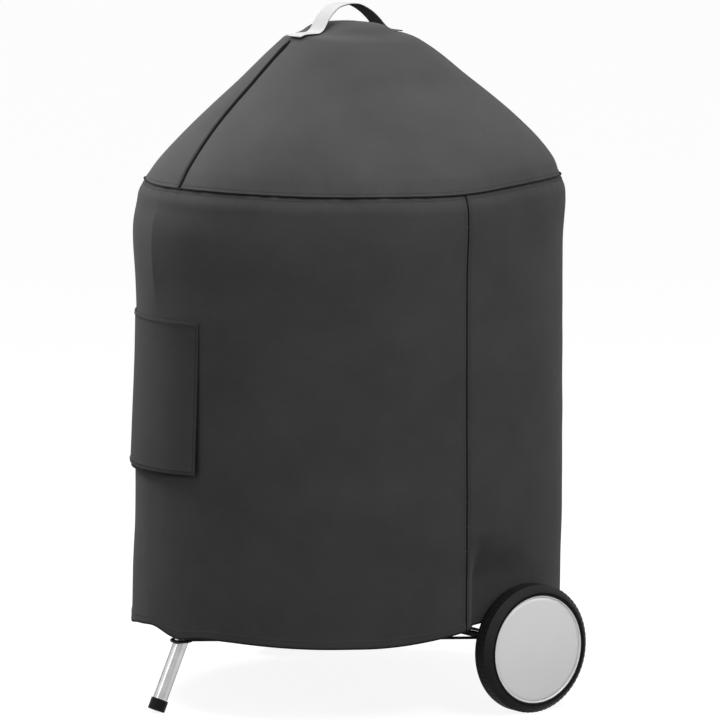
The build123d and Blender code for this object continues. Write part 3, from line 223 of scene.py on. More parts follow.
def sheet_piece(name, grid, flat, thickness=CLOTH, sharp=50, holes=None):
    """A closed thin sheet: the grid is its outer face, and its inner face lies one thickness inside.

    holes marks the cells of the grid that are left open.
    """
    rows, columns = grid.shape[:2]
    inner = grid - grid_normals(grid) * thickness
    points = np.concatenate([grid.reshape(-1, 3), inner.reshape(-1, 3)])
    count = rows * columns
    cells = np.ones((rows + 1, columns + 1), bool)  # padded by one cell all round
    cells[0] = cells[-1] = cells[:, 0] = cells[:, -1] = False
    if holes is not None:
        cells[1:-1, 1:-1] &= ~holes
    faces = []
    for i in range(rows - 1):
        for j in range(columns - 1):
            if not cells[i + 1, j + 1]:
                continue
            a, b = i * columns + j, i * columns + j + 1
            c, d = b + columns, a + columns
            faces.append((a, b, c, d))
            faces.append((d + count, c + count, b + count, a + count))
            edges = ((a, b, cells[i, j + 1]), (b, c, cells[i + 1, j + 2]),
                     (c, d, cells[i + 2, j + 1]), (d, a, cells[i + 1, j]))
            for first, last, joined in edges:
                if not joined:
                    faces.append((last, first, first + count, last + count))
    cloth = np.concatenate([flat.reshape(-1, 2), flat.reshape(-1, 2)])
    used = np.unique(np.array(faces))
    renumber = np.zeros(2 * count, int)
    renumber[used] = np.arange(len(used))
    faces = [tuple(int(v) for v in renumber[list(face)]) for face in faces]
    piece = mesh_from(name, points[used], faces, cloth=cloth[used])
    piece.data.set_sharp_from_angle(angle=radians(sharp))
    return piece


def frames_along(path, closed=False):
    """Tangents and two cross directions along a path, turning as little as possible."""
    points = np.asarray(path, float)
    if closed:
        tangent = np.roll(points, -1, 0) - np.roll(points, 1, 0)
    else:
        tangent = np.gradient(points, axis=0)
    tangent = unit(tangent)
    side = np.cross(tangent, (0.0, 0.0, 1.0))
    weak = np.linalg.norm(side, axis=1) < 1e-3
    side[weak] = np.cross(tangent[weak], (0.0, 1.0, 0.0))
    side = unit(side)
    return points, tangent, side, np.cross(side, tangent)


def tube(name, path, radius, sides=10, closed=False):
    """A round cord along a path. radius is one number or one for each point."""
    points, _, side, up = frames_along(path, closed)
    turn = np.linspace(0, 2 * pi, sides, endpoint=False)
    size = np.broadcast_to(np.asarray(radius, float), (len(points),))[:, None, None]
    ring = side[:, None, :] * np.cos(turn)[None, :, None] + up[:, None, :] * np.sin(turn)[None, :, None]
    grid = points[:, None, :] + ring * size
    faces = tube_faces(len(points), sides, closed)
    if not closed:
        faces += end_faces(len(points), sides)
    cloth = np.stack(np.broadcast_arrays(run_along(points)[:, None], turn[None, :] * size[:, :, 0]), -1)
    return mesh_from(name, grid.reshape(-1, 3), faces, cloth=cloth)


def ribbon(name, path, normals, width, thickness):
    """A flat strip along a path: its top face is at the path, and its edges are slightly rounded."""
    points = np.asarray(path, float)
    normal = np.asarray(normals, float)
    tangent = unit(np.gradient(points, axis=0))
    normal = unit(normal - tangent * (normal * tangent).sum(1, keepdims=True))
    side = np.cross(tangent, normal)
    half = width / 2
    edge = thickness * 0.35
    corners = [(edge, 0.0), (0.0, edge), (0.0, thickness - edge), (edge, thickness)]
    section = [(-1, *corner) for corner in corners] + [(1, *corner) for corner in corners[::-1]]
    columns = len(section)
    rows = []
    for p, n, s in zip(points, normal, side):
        rows.append([p + s * sign * (half - back) - n * deep for sign, back, deep in section])
    faces = ring_faces(len(points), columns, flip=True) + end_faces(len(points), columns)
    across = np.array([sign * half for sign, _, _ in section])
    cloth = np.stack(np.broadcast_arrays(run_along(points)[:, None], across[None, :]), -1)
    piece = mesh_from(name, np.array(rows).reshape(-1, 3), faces, cloth=cloth)
    piece.data.set_sharp_from_angle(angle=radians(40))
    return piece


def spaced(path, normals, pitch):
    """Points, normals and tangents at equal distances along a path."""
    points = np.asarray(path, float)
    normal = np.asarray(normals, float)
    length = run_along(points)
    at = np.arange(pitch / 2, length[-1], pitch)
    place = np.stack([np.interp(at, length, points[:, k]) for k in range(3)], -1)
    up = np.stack([np.interp(at, length, normal[:, k]) for k in range(3)], -1)
    ahead = np.stack([np.interp(at + pitch / 4, length, points[:, k]) for k in range(3)], -1) - place
    return place, unit(up), unit(ahead)


def stitches(name, seams, pitch=STITCH_PITCH, thread=0.28 * MM):
    """Rows of thread stitches. Each seam is (path, normals); a stitch is a short arched capsule."""
    points = []
    faces = []
    half = pitch * 0.36
    sides = 5
    ends = [(-1.0, -0.7, 0.25), (-0.72, 0.25, 0.9)]
    stations = ends + [(0.0, 0.75, 1.0)] + [(-along, lift, size) for along, lift, size in ends[::-1]]
    for path, normals in seams:
        place, up, ahead = spaced(path, normals, pitch)
        for p, n, a in zip(place, up, ahead):
            s = np.cross(a, n)
            start = len(points)
            for along, lift, size in stations:
                centre = p + a * along * half + n * lift * thread
                for j in range(sides):
                    t = 2 * pi * j / sides
                    points.append(centre + (s * cos(t) + n * sin(t)) * thread * size)
            faces += ring_faces(len(stations), sides, offset=start)
            faces.append(tuple(start + j for j in range(sides - 1, -1, -1)))
            last = start + (len(stations) - 1) * sides
            faces.append(tuple(last + j for j in range(sides)))
    return mesh_from(name, points, faces)


def lathe(name, profile, turn, segments, wobble=None):
    """A closed solid of revolution. profile is (radius, height) points round the section; turn places it."""
    angle = np.linspace(0, 2 * pi, segments, endpoint=False)
    grid = np.array([[(r * cos(a), r * sin(a), z) for r, z in profile] for a in angle])
    if wobble is not None:
        grid = wobble(grid, angle)
    placed = grid.reshape(-1, 3) @ np.array(turn.to_3x3()).T + np.array(turn.translation)
    return mesh_from(name, placed, tube_faces(segments, len(profile), closed=True))


def dress(piece, body, slot, node=None, material=None):
    """Give a piece the body that it rides and the material of its slot, and hide the CAD node that it
    replaces.

    The material is the slot's own, unless another is named.
    """
    piece.data.materials.append(MATERIALS[material or slot])
    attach(piece, body)
    if node:
        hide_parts(node)


def ease(t):
    t = np.clip(t, 0, 1)
    return t * t * (3 - 2 * t)


def matched(*values):
    """The values as arrays of one shape."""
    return np.broadcast_arrays(*(np.asarray(value, float) for value in values))


def bell(distance, width):
    """1 at no distance, falling smoothly to 0 past the width."""
    return np.exp(-(distance / width) ** 2)


def polar(radius, angle, z):
    """Points at a radius and direction (degrees) from the kettle's axis."""
    a = np.radians(angle)
    return np.stack(np.broadcast_arrays(radius * np.cos(a), AXIS_Y + radius * np.sin(a), z), -1)


def away(angle, middle):
    """Signed angle from a direction, in degrees."""
    return (np.asarray(angle) - middle + 180) % 360 - 180


def ripple(x, y, z, scale, seed):
    """Smooth repeatable noise from -1 to 1 over arrays of points."""
    flat = np.stack(np.broadcast_arrays(x, y, z), -1).reshape(-1, 3)
    shift = Vector((seed * 7.3, seed * 3.1, seed * 5.7))
    values = [noise.noise(Vector(p) * scale + shift) for p in flat]
    return np.array(values).reshape(np.broadcast(x, y, z).shape)


# ---- shape of the cover
def lean(angle):
    """1 on the side where the cover bulges, -1 on the opposite side."""
    return np.cos(np.radians(angle - BULGE_SIDE))


def seam_height(angle):
    """The shoulder seam rises behind the right wheel and at the front left, and sags by the wall seam."""
    a = np.radians(away(angle, 30))
    sag = -5.0 * bell(away(angle, -4), 17) + 6.0 * bell(away(angle, -125), 16)
    return SEAM_Z + (1.0 + 5.8 * np.cos(a) + 3.2 * np.cos(3 * a) + sag) * MM


def cone_profile(angle, share):
    """(radius, height) on the cone for a direction and a share of the way from the top to the seam."""
    sway = lean(angle)
    ridge = np.abs(np.cos(np.radians(angle)))  # 1 over the ends of the lid's handle
    edge_z = TOP_Z - CAP_DROP
    drop = seam_height(angle) - edge_z
    places = []
    knots_r = []
    knots_z = []
    for place, r, r_more, z, z_less in CAP_RINGS:
        places.append(place)
        knots_r.append((r + r_more * ridge) * MM)
        knots_z.append(TOP_Z - (z - z_less * ridge) * MM)
    for run, r, more in CONE_RINGS:
        places.append(CAP_SHARE + (1 - CAP_SHARE) * run)
        knots_r.append((r + more * sway) * MM)
        knots_z.append(edge_z + drop * run)
    places = np.array(places)
    return smooth_through(places, np.array(knots_r), share), smooth_through(places, np.array(knots_z), share)


def smooth_through(places, knots, share):
    """A smooth curve through knots (one row for each place), read at share, for every column."""
    step = np.diff(places)
    slope = np.diff(knots, axis=0) / step.reshape((-1,) + (1,) * (knots.ndim - 1))
    middle = (slope[1:] + slope[:-1]) / 2
    tangent = np.concatenate([slope[:1], middle, slope[-1:]])
    share = np.asarray(share)
    index = np.clip(np.searchsorted(places, share, side="right") - 1, 0, len(places) - 2)
    h = step[index]
    t = (share - places[index]) / h
    k0, k1, m0, m1 = (np.take_along_axis(rows, i[None], 0)[0]
                      for rows in (knots, tangent) for i in (index, index + 1))
    t2, t3 = t * t, t * t * t
    blend = (2 * t3 - 3 * t2 + 1) * k0 + (t3 - 2 * t2 + t) * h * m0
    return blend + (3 * t2 - 2 * t3) * k1 + (t3 - t2) * h * m1


def front_seam(share):
    """Direction of the cone's front seam, which bows towards the left panel. The rear seam is at 90."""
    return -90 - SEAM_BOW * (1 - share) ** 1.5 * np.maximum(share - SEAM_BOW_START, 0)


def gathers(angle):
    """Small puckers along the shoulder seam, the same on the cone and on the wall."""
    return ripple(angle * 0.06, 0 * angle, 0 * angle, 6.0, 3)


def cone_point(angle, share, lift=0.0):
    """Points on the cone's outer face, with its soft folds. lift moves them out along the slope's normal."""
    angle, share = matched(angle, share)
    r, z = cone_profile(angle, share)
    a = np.radians(angle)
    x, y = r * np.cos(a), r * np.sin(a)
    out = np.sin(pi * np.clip((share - 0.1) / 0.9, 0, 1)) ** 0.7
    soft = ripple(x, y, z, 7.0, 1) * 1.6 + ripple(x, y, z, 19.0, 2) * 0.6
    pucker = gathers(angle) * bell(1 - share, 0.03) * 1.3
    seam = np.minimum(np.abs(away(angle, front_seam(share))), np.abs(away(angle, 90)))
    across = np.radians(seam) * r
    below_cap = ease((share - 0.28) / 0.1)
    ditch = -2.6 * bell(across, 4.5 * MM) * below_cap
    tension = -2.0 * bell(across, 30 * MM) * ease((share - 0.3) / 0.3) * ease((1 - share) / 0.2)
    offset = (soft * out + pucker + ditch + tension) * MM + lift
    tilt = radians(48) * ease(share / 0.3)
    return polar(r + offset * np.sin(tilt), angle, z + offset * np.cos(tilt))


def hem_height(angle):
    """The lower edge rises over each wheel and waves at the front left."""
    rise = 0
    for around, height in ((away(angle, 0), 23.0), (away(180 - angle, 0), 18.0)):
        rise = rise + height * ease((around + 32) / 44) * (1 - ease((around - 40) / 30))
    dip = 5.0 * bell(away(angle, -98), 6.0) - 6.0 * bell(away(angle, -86), 6.0)
    dip = dip - 10.0 * bell(away(angle, -121), 9.0)
    wave = 1.0 * np.sin(np.radians(4 * angle + 30)) + 0.7 * np.sin(np.radians(9 * angle))
    return HEM_Z + (2.0 + rise + dip + wave) * MM


def wall_radius(angle, z):
    """Radius of the wall before a wheel presses it in."""
    angle, z = matched(angle, z)
    depth = (seam_height(angle) - z) / MM
    sway = lean(angle)
    places = np.array([ring[0] for ring in WALL_RINGS])
    knots = np.array([ring[1] + ring[2] * sway for ring in WALL_RINGS])
    return smooth_through(places, knots, np.clip(depth, places[0], places[-1])) * MM


def wall_folds(angle, z, x, y):
    """Soft upright folds that grow towards the hem, in millimetres."""
    low = ease((0.70 - z) / 0.5)
    broad = ripple(x, y, z * 0.35, 5.5, 4) * (0.9 + 1.5 * low)
    narrow = ripple(x, y, z * 0.3, 16.0, 5) * (0.3 + 0.6 * low)
    creases = ripple(x * 0.6, y * 0.6, z * 1.6, 12.0, 6) * 0.6
    ridge_z = ease((z - 0.60) / 0.08) * ease((0.79 - z) / 0.03)
    ridge = 3.6 * np.exp(-np.abs(away(angle, -98)) / 5.0) * ridge_z
    return broad + narrow + creases + ridge


def soft_least(a, b, softness):
    """The smaller of two lengths, rounded where they meet."""
    low = np.minimum(a, b)
    return low - softness * np.log1p(np.exp(-np.abs(a - b) / softness))


def press_in(x, y, z):
    """The wall's x where a wheel stands beside it: its half width closes in next to the tyre."""
    beside = ease((y - TUCK_FRONT) / TUCK_EASE) * ease((TUCK_TOP_Z - z) / (TUCK_TOP_Z - TUCK_Z))
    wide = TUCK_HALF + (WALL_R + 4 * MM - TUCK_HALF) * (1 - beside)
    pressed = soft_least(np.abs(x), wide, 5 * MM)
    return np.sign(x) * (np.abs(x) + (pressed - np.abs(x)) * ease(beside * 5))


def wall_point(angle, z, lift=0.0):
    """Points on the wall's outer face, with its folds."""
    angle, z = matched(angle, z)
    a = np.radians(angle)
    r = wall_radius(angle, z)
    below = seam_height(angle) - z
    folds = wall_folds(angle, z, r * np.cos(a), r * np.sin(a)) * ease(below / (60 * MM))
    pucker = gathers(angle) * bell(below, 16 * MM) * 1.2
    seam = np.minimum(*(np.abs(away(angle, middle)) for middle in WALL_SEAMS))
    across = np.radians(seam) * r
    ditch = -1.5 * bell(across, 2.4 * MM) * ease(below / (25 * MM))
    pull = -1.2 * bell(across, 35 * MM) * ease((0.78 - z) / 0.1)
    r = r + (folds + pucker + ditch + pull) * MM + lift
    x, y = r * np.cos(a), r * np.sin(a)
    return np.stack([press_in(x, y, z), AXIS_Y + y, z], -1)


# ---- the cover's pieces
def make_cone(name, node, left):
    """One sewn half of the cone, from the top to the shoulder seam."""
    share = np.concatenate([np.linspace(0.002, 0.3, 34), np.linspace(0.3, 1.0, 84)[1:]])[:, None]
    first, last = (90, 360 + front_seam(share)) if left else (front_seam(share), 90)
    angle = first + (last - first) * np.linspace(0, 1, 241)[None, :]
    share = np.broadcast_to(share, angle.shape)
    grid = cone_point(angle, share)
    r, _ = cone_profile(angle, share)
    flat = np.stack([np.radians(angle) * r, share * CONE_SLANT], -1)
    piece = sheet_piece(name, grid[::-1], flat[::-1])
    dress(piece, "cover", "cover_fabric", node)
    return piece


def make_wall(name, first, last, node, window=False):
    """One sewn panel of the wall, from the shoulder seam to the folded hem, with the vent's window."""
    edges = [FLAP_MIDDLE - VENT_SPAN / 2, FLAP_MIDDLE + VENT_SPAN / 2] if window else [(first + last) / 2]
    stops = [first] + edges + [last]
    angle = [np.array([float(first)])]
    for a, b in zip(stops, stops[1:]):
        angle.append(np.linspace(a, b, 1 + round((b - a) * 2))[1:])
    angle = np.concatenate(angle)
    run = (SEAM_Z - HEM_Z - HEM_H) / HEM_START
    window_top = (SEAM_Z - VENT_TOP_Z) / run
    window_low = (SEAM_Z - VENT_LOW_Z) / run
    share = [np.linspace(0, 0.12, 22)]
    for a, b, count in ((0.12, window_top, 18), (window_top, window_low, 28), (window_low, HEM_START, 50)):
        share.append(np.linspace(a, b, count)[1:])
    share = np.concatenate(share)
    top = seam_height(angle)[None, :]
    low = hem_height(angle)[None, :]
    z = top + (low + HEM_H - top) * (share[:, None] / share[-1])
    body = wall_point(angle[None, :], z)
    step = np.linspace(0, 1, 6)[:, None]
    hem_z = low + HEM_H - 0.4 * MM - (HEM_H - 0.4 * MM) * step
    rounded = np.array([0.0, 1.0, 1.0, 1.0, 1.0, 0.6])[:, None] * 0.9 * MM
    hem = wall_point(angle[None, :], hem_z, rounded)
    grid = np.concatenate([body, hem])[::-1]
    heights = np.concatenate([z, hem_z])[::-1]
    around = np.broadcast_to(np.radians(angle)[None, :] * WALL_R, heights.shape)
    holes = None
    if window:
        rows = np.concatenate([share, np.ones(6)])[::-1]
        middle_row = (rows[1:] + rows[:-1]) / 2
        middle_angle = (angle[1:] + angle[:-1]) / 2
        down = (middle_row > window_top) & (middle_row < window_low)
        along = (middle_angle > edges[0]) & (middle_angle < edges[1])
        holes = down[:, None] & along[None, :]
    piece = sheet_piece(name, grid, np.stack([around, heights], -1), holes=holes)
    dress(piece, "cover", "cover_fabric", node, material="wall_fabric_painted_shade")
    return piece


def make_net():
    """The net in the vent's window: threads with open holes between them, and a sewn binding."""
    half = degrees((WINDOW_W / 2 + WINDOW_LAP) / WALL_R)
    top = VENT_TOP_Z + WINDOW_LAP
    low = VENT_LOW_Z - WINDOW_LAP

    def lines(length):
        """Grid lines with a thread and a hole for each pitch."""
        count = int(length / NET_PITCH)
        starts = np.arange(count + 1) * NET_PITCH
        places = np.sort(np.concatenate([starts, starts[:-1] + NET_THREAD]))
        return places / places[-1]

    across = lines(2 * radians(half) * WALL_R)
    down = lines(top - low)
    angle = FLAP_MIDDLE + half * (2 * across - 1)
    z = low + (top - low) * down
    grid = wall_point(angle[None, :], z[:, None], -1.4 * MM)
    holes = (np.arange(len(z) - 1)[:, None] % 2 == 1) & (np.arange(len(angle) - 1)[None, :] % 2 == 1)
    flat = np.stack(np.broadcast_arrays(angle[None, :] * 0.005, z[:, None]), -1)
    net = sheet_piece("vent_net", grid, flat, thickness=0.35 * MM, holes=holes)
    dress(net, "cover", "mesh", "vent_mesh")
    corners = [(-1, VENT_TOP_Z), (1, VENT_TOP_Z), (1, VENT_LOW_Z), (-1, VENT_LOW_Z)]
    sides = []
    for (s0, z0), (s1, z1) in zip(corners, corners[1:] + corners[:1]):
        a = FLAP_MIDDLE + VENT_SPAN / 2 * np.linspace(s0, s1, 60)
        path = wall_point(a, np.linspace(z0, z1, 60), 0.9 * MM)
        tape = ribbon(f"window_binding_{len(sides) + 1}", path, outward(a), 9 * MM, 0.8 * MM)
        dress(tape, "cover", "cover_trim")
        sides.append(tape)


def make_shoulder_piping():
    angle = np.linspace(0, 360, 540, endpoint=False)
    path = wall_point(angle, seam_height(angle) + 0.2 * MM, 1.0 * MM)
    size = PIPING_R * (1 + 0.06 * ripple(path[:, 0], path[:, 1], path[:, 2], 60.0, 8))
    piece = tube("shoulder_cord", path, size, closed=True)
    dress(piece, "cover", "cover_trim", "shoulder_piping")


def make_hem_binding():
    """The dark bound edge under the hem."""
    angle = np.linspace(0, 360, 720, endpoint=False)
    path = wall_point(angle, hem_height(angle) + 0.8 * MM, 0.2 * MM)
    piece = tube("hem_binding", path, 1.3 * MM, sides=8, closed=True)
    dress(piece, "cover", "cover_trim")
    return piece


def make_seam_cords():
    """The dark bound seams: down the cone at front and back, where the cords widen upwards as painted shadow
    of the fold beside the seam, and down the wall at both sides.
    """
    made = []
    share = np.linspace(0.295, 0.998, 120)
    for name, middle in (("front", front_seam(share)), ("rear", 90)):
        path = cone_point(middle, share, 1.6 * MM)
        # The cone's cords widen upwards: partly the bound seam, partly painted shadow of the fold beside it.
        size = (4.6 - 2.4 * share) * ease((share - 0.27) / 0.08) * MM
        made.append(tube(f"cone_seam_and_shadow_{name}", path, size, sides=10))
    for name, middle in zip(("right", "left"), WALL_SEAMS):
        z = np.linspace(seam_height(middle) - 0.5 * MM, hem_height(middle) + 0.5 * MM, 160)
        path = wall_point(np.full_like(z, middle), z, 0.7 * MM)
        made.append(tube(f"wall_seam_{name}", path, 1.25 * MM, sides=8))
    for piece in made:
        dress(piece, "cover", "cover_trim")
    return made


def make_cover_stitches():
    """Thread along the hem, beside the piping and beside each seam."""
    angle = np.linspace(-180, 180, 1081)
    out = outward(angle)
    rows = []
    for drop in (3.2 * MM, HEM_H - 2.6 * MM):
        rows.append((wall_point(angle, hem_height(angle) + drop, 1.0 * MM), out))
    rows.append((wall_point(angle, seam_height(angle) - 6 * MM, STITCH_LIFT), out))
    share = np.full_like(angle, 0.982)
    rows.append((cone_point(angle, share, STITCH_LIFT), outward(angle, CONE_RISE)))
    share = np.linspace(0.315, 0.975, 200)
    for middle in (front_seam(share), np.full_like(share, 90)):
        r, _ = cone_profile(middle, share)
        for side in (-1, 1):
            path = cone_point(middle + side * np.degrees(CONE_STITCH_OUT / r), share, STITCH_LIFT)
            rows.append((path, outward(np.full_like(share, middle[-1]), CONE_RISE)))
    for middle in WALL_SEAMS:
        z = np.linspace(seam_height(middle) - 6 * MM, HEM_Z + HEM_H + 8 * MM, 260)
        for side in (-1, 1):
            beside = middle + side * degrees(SEAM_STITCH_OUT / WALL_R)
            path = wall_point(np.full_like(z, beside), z, STITCH_LIFT)
            rows.append((path, outward(np.full_like(z, middle))))
    piece = stitches("cover_stitching", rows)
    dress(piece, "cover", "cover_trim", material="thread")


def outward(angle, rise=0.0):
    """Vectors out from the kettle's axis and up by rise, one for each angle."""
    return np.stack([np.cos(np.radians(angle)), np.sin(np.radians(angle)), 0 * angle + rise], -1)


def flap_point(across, down, lift=0.0):
    """A point on the vent flap: across runs 0 to 1 along its width, down 0 to 1 from its seam."""
    across, down = matched(across, down)
    angle = FLAP_MIDDLE + FLAP_SPAN * (across - 0.5)
    top = FLAP_TOP_Z + (-4.0 + 8.0 * across) * MM
    low = FLAP_LOW_Z + (-1.4 + 15.0 * across) * MM
    stand = 1.7 + 6.5 * down**1.3 + 0.8 * np.sin(pi * across * 2.2 + 0.6) * down
    edge = np.minimum(across, 1 - across)
    stand = stand + 0.9 * bell(edge, 0.02) * down
    z = top + (low - top) * down
    base = wall_point(angle, z)
    keep = 0.25  # share of the wall's folds that shows through
    r = hypot_xy(base) * keep + wall_radius(angle, z) * (1 - keep)
    return polar(r + stand * MM + lift, angle, z - 1.2 * MM * np.sin(pi * across) * down)


def hypot_xy(points):
    """Distance of points from the kettle's axis."""
    return np.hypot(points[..., 0], points[..., 1] - AXIS_Y)


def make_vent_flap():
    """The flap over the vent: a hemmed panel sewn along its top."""
    across = np.concatenate([[0, 0.004], np.linspace(0.022, 0.978, 88), [0.996, 1.0]])
    down = np.concatenate([[0, 0.006], np.linspace(0.035, 0.965, 60), [0.994, 1.0]])
    edge_u = np.minimum(across, 1 - across)[None, :] * FLAP_W
    edge_v = np.minimum(down, 1 - down)[:, None] * FLAP_H
    edge = np.minimum(np.broadcast_to(edge_u, (len(down), len(across))), edge_v)
    folded = 0.9 * MM * (1 - ease((edge - 6.5 * MM) / (1.5 * MM))) * ease(edge / (1.0 * MM) + 0.4)
    grid = flap_point(across[None, :], down[:, None], folded)
    flat = np.stack(np.broadcast_arrays(across[None, :] * FLAP_W, -down[:, None] * FLAP_H), -1)
    piece = sheet_piece("vent_cover_flap", grid[::-1], flat[::-1], thickness=1.3 * MM)
    dress(piece, "vent_flap", "cover_fabric", "vent_flap", material="flap")
    flap_shadow = make_flap_painted_shadow()


def make_flap_painted_shadow():
    """A black strip inside the flap's lower hem: painted shadow for the shade under the flap's lower edge. It
    reaches below the hem, least at the near corner.
    """
    across = np.linspace(-0.004, 0.995, 90)[None, :]
    reach = 1 + 5.5 * MM / FLAP_H * (1 - across**5)
    down = 0.9 + (reach - 0.9) * np.linspace(0, 1, 10)[:, None]
    across = np.broadcast_to(across, down.shape)
    flat = np.stack([across * FLAP_W, -down * FLAP_H], -1)
    grid = flap_point(across, down, -1.5 * MM)
    piece = sheet_piece("vent_flap_painted_shadow", grid[::-1], flat[::-1], thickness=0.8 * MM)
    dress(piece, "vent_flap", "cover_trim", material="flap_shadow")
    return piece


def make_flap_stitches():
    inset_u = FLAP_STITCH_IN / FLAP_W
    inset_v = FLAP_STITCH_IN / FLAP_H
    corners = [(inset_u, inset_v), (1 - inset_u, inset_v), (1 - inset_u, 1 - inset_v), (inset_u, 1 - inset_v)]
    rows = []
    for (u0, v0), (u1, v1) in zip(corners, corners[1:] + corners[:1]):
        u = np.linspace(u0, u1, 60)
        v = np.linspace(v0, v1, 60)
        path = flap_point(u, v, 0.95 * MM)
        angle = FLAP_MIDDLE + FLAP_SPAN * (u - 0.5)
        rows.append((path, outward(angle)))
    piece = stitches("vent_flap_stitching", rows, thread=0.34 * MM)
    dress(piece, "vent_flap", "cover_trim")


def make_strap():
    """A webbing handle in two layers: pale outside, black inside."""
    knots = np.array(STRAP_LINE) * MM
    places = run_along(knots)
    share = np.linspace(0, places[-1], 150)
    y = smooth_through(places, knots[:, :1] + np.zeros((1, 150)), share)
    z = TOP_Z + smooth_through(places, knots[:, 1:] + np.zeros((1, 150)), share)
    z = np.maximum(z, surface_under(y) + 2.6 * MM)
    path = np.stack([0 * y, AXIS_Y + y, z], -1)
    tangent = np.gradient(path, axis=0)
    normals = unit(np.stack([0 * y, -tangent[:, 2], tangent[:, 1]], -1))
    outer = ribbon("strap_outer", path, normals, STRAP_W * 0.98, 1.1 * MM)
    lining = ribbon("strap_lining", path - normals * 1.15 * MM, normals, STRAP_W * 0.94, 1.1 * MM)
    dress(outer, "cover", "webbing", "cover_strap")
    dress(lining, "cover", "webbing", material="webbing_black")
    rows = []
    for side in (-1, 1):
        keep = (side * y > (STRAP_SEWN[0] - 1.5) * MM) & (side * y < (STRAP_SEWN[1] + 1.5) * MM)
        for edge in (-1, 1):
            line = path[keep] + np.array([edge * (STRAP_W / 2 - 5 * MM), 0, 0]) + normals[keep] * 0.1 * MM
            rows.append((line, normals[keep]))
        for at in STRAP_SEWN:
            k = int(np.argmin(np.abs(y - side * at * MM)))
            x = np.linspace(-STRAP_W / 2 + 5 * MM, STRAP_W / 2 - 5 * MM, 12)
            line = path[k] + np.stack([x, 0 * x, 0 * x], -1) + normals[k] * 0.1 * MM
            rows.append((line, np.tile(normals[k], (len(x), 1))))
    thread = stitches("strap_stitching", rows, pitch=3.4 * MM)
    dress(thread, "cover", "webbing", material="pale_thread")


def surface_under(y):
    """Height of the cover's top on the plane x = 0."""
    share = np.linspace(0.002, 0.5, 200)
    heights = np.full_like(y, TOP_Z)
    for side, angle in ((-1, -90.0), (1, 90.0)):
        points = cone_point(np.full_like(share, angle), share)
        here = side * y >= 0
        heights[here] = np.interp(np.abs(y[here]), np.abs(points[:, 1] - AXIS_Y), points[:, 2])
    return heights


# ---- materials
class Nodes:
    """Adds and links the nodes of one material or world."""

    def __init__(self, owner):
        owner.use_nodes = True
        self.tree = owner.node_tree
        self.tree.nodes.clear()

    def add(self, kind, **values):
        node = self.tree.nodes.new(kind)
        for key, value in values.items():
            setattr(node, key, value)
        return node

    def link(self, source, target):
        self.tree.links.new(source, target)

    def math(self, kind, a, b=0.0, c=0.0):
        node = self.add("ShaderNodeMath", operation=kind)
        for socket, value in zip(node.inputs, (a, b, c)):
            if hasattr(value, "links"):
                self.link(value, socket)
            else:
                socket.default_value = value
        return node.outputs[0]


class Shader(Nodes):
    """A material with a Principled shader."""

    def __init__(self, name):
        self.material = bpy.data.materials.new(name)
        super().__init__(self.material)
        self.output = self.add("ShaderNodeOutputMaterial")
        self.bsdf = self.add("ShaderNodeBsdfPrincipled")
        self.link(self.bsdf.outputs[0], self.output.inputs["Surface"])

    def set(self, **values):
        """Constant values on the Principled shader's own sockets."""
        for key, value in values.items():
            self.bsdf.inputs[key.replace("_", " ")].default_value = value

    def place(self, scale=(1, 1, 1), rotation=None, attribute=None):
        """Object coordinates, or a mesh attribute, scaled. rotation turns +Z to the texture's own Z first."""
        if attribute:
            source = self.add("ShaderNodeAttribute", attribute_name=attribute).outputs["Vector"]
        else:
            source = self.add("ShaderNodeTexCoord").outputs["Object"]
        mapping = self.add("ShaderNodeMapping")
        if rotation:
            mapping.vector_type = "TEXTURE"
            mapping.inputs["Rotation"].default_value = rotation
            scale = [1 / value for value in scale]
        mapping.inputs["Scale"].default_value = scale
        self.link(source, mapping.inputs["Vector"])
        return mapping.outputs[0]

    def noise(self, vector, scale, detail=3.0, roughness=0.5):
        node = self.add("ShaderNodeTexNoise")
        node.inputs["Scale"].default_value = scale
        node.inputs["Detail"].default_value = detail
        node.inputs["Roughness"].default_value = roughness
        self.link(vector, node.inputs["Vector"])
        return node.outputs["Fac"]

    def total(self, *terms):
        """The sum of (value, weight) pairs."""
        result = self.math("MULTIPLY", *terms[0])
        for value, weight in terms[1:]:
            result = self.math("ADD", result, self.math("MULTIPLY", value, weight))
        return result

    def greys(self, fac, low, dark, high, pale, tint=0.0):
        """A grey from dark to pale as fac goes from low to high. tint makes it bluer."""
        node = self.add("ShaderNodeValToRGB")
        for stop, position, value in zip(node.color_ramp.elements, (low, high), (dark, pale)):
            stop.position = position
            stop.color = (value, value, value * (1 + tint), 1)
        self.link(fac, node.inputs["Fac"])
        return node.outputs["Color"]

    def bump(self, height, distance, strength):
        node = self.add("ShaderNodeBump")
        node.inputs["Strength"].default_value = strength
        node.inputs["Distance"].default_value = distance
        self.link(height, node.inputs["Height"])
        return node.outputs[0]

    def finish(self, colour, roughness=None, normal=None):
        """Link what is given to the Principled shader."""
        for name, value in (("Base Color", colour), ("Roughness", roughness), ("Normal", normal)):
            if value is not None:
                self.link(value, self.bsdf.inputs[name])
        return self.material


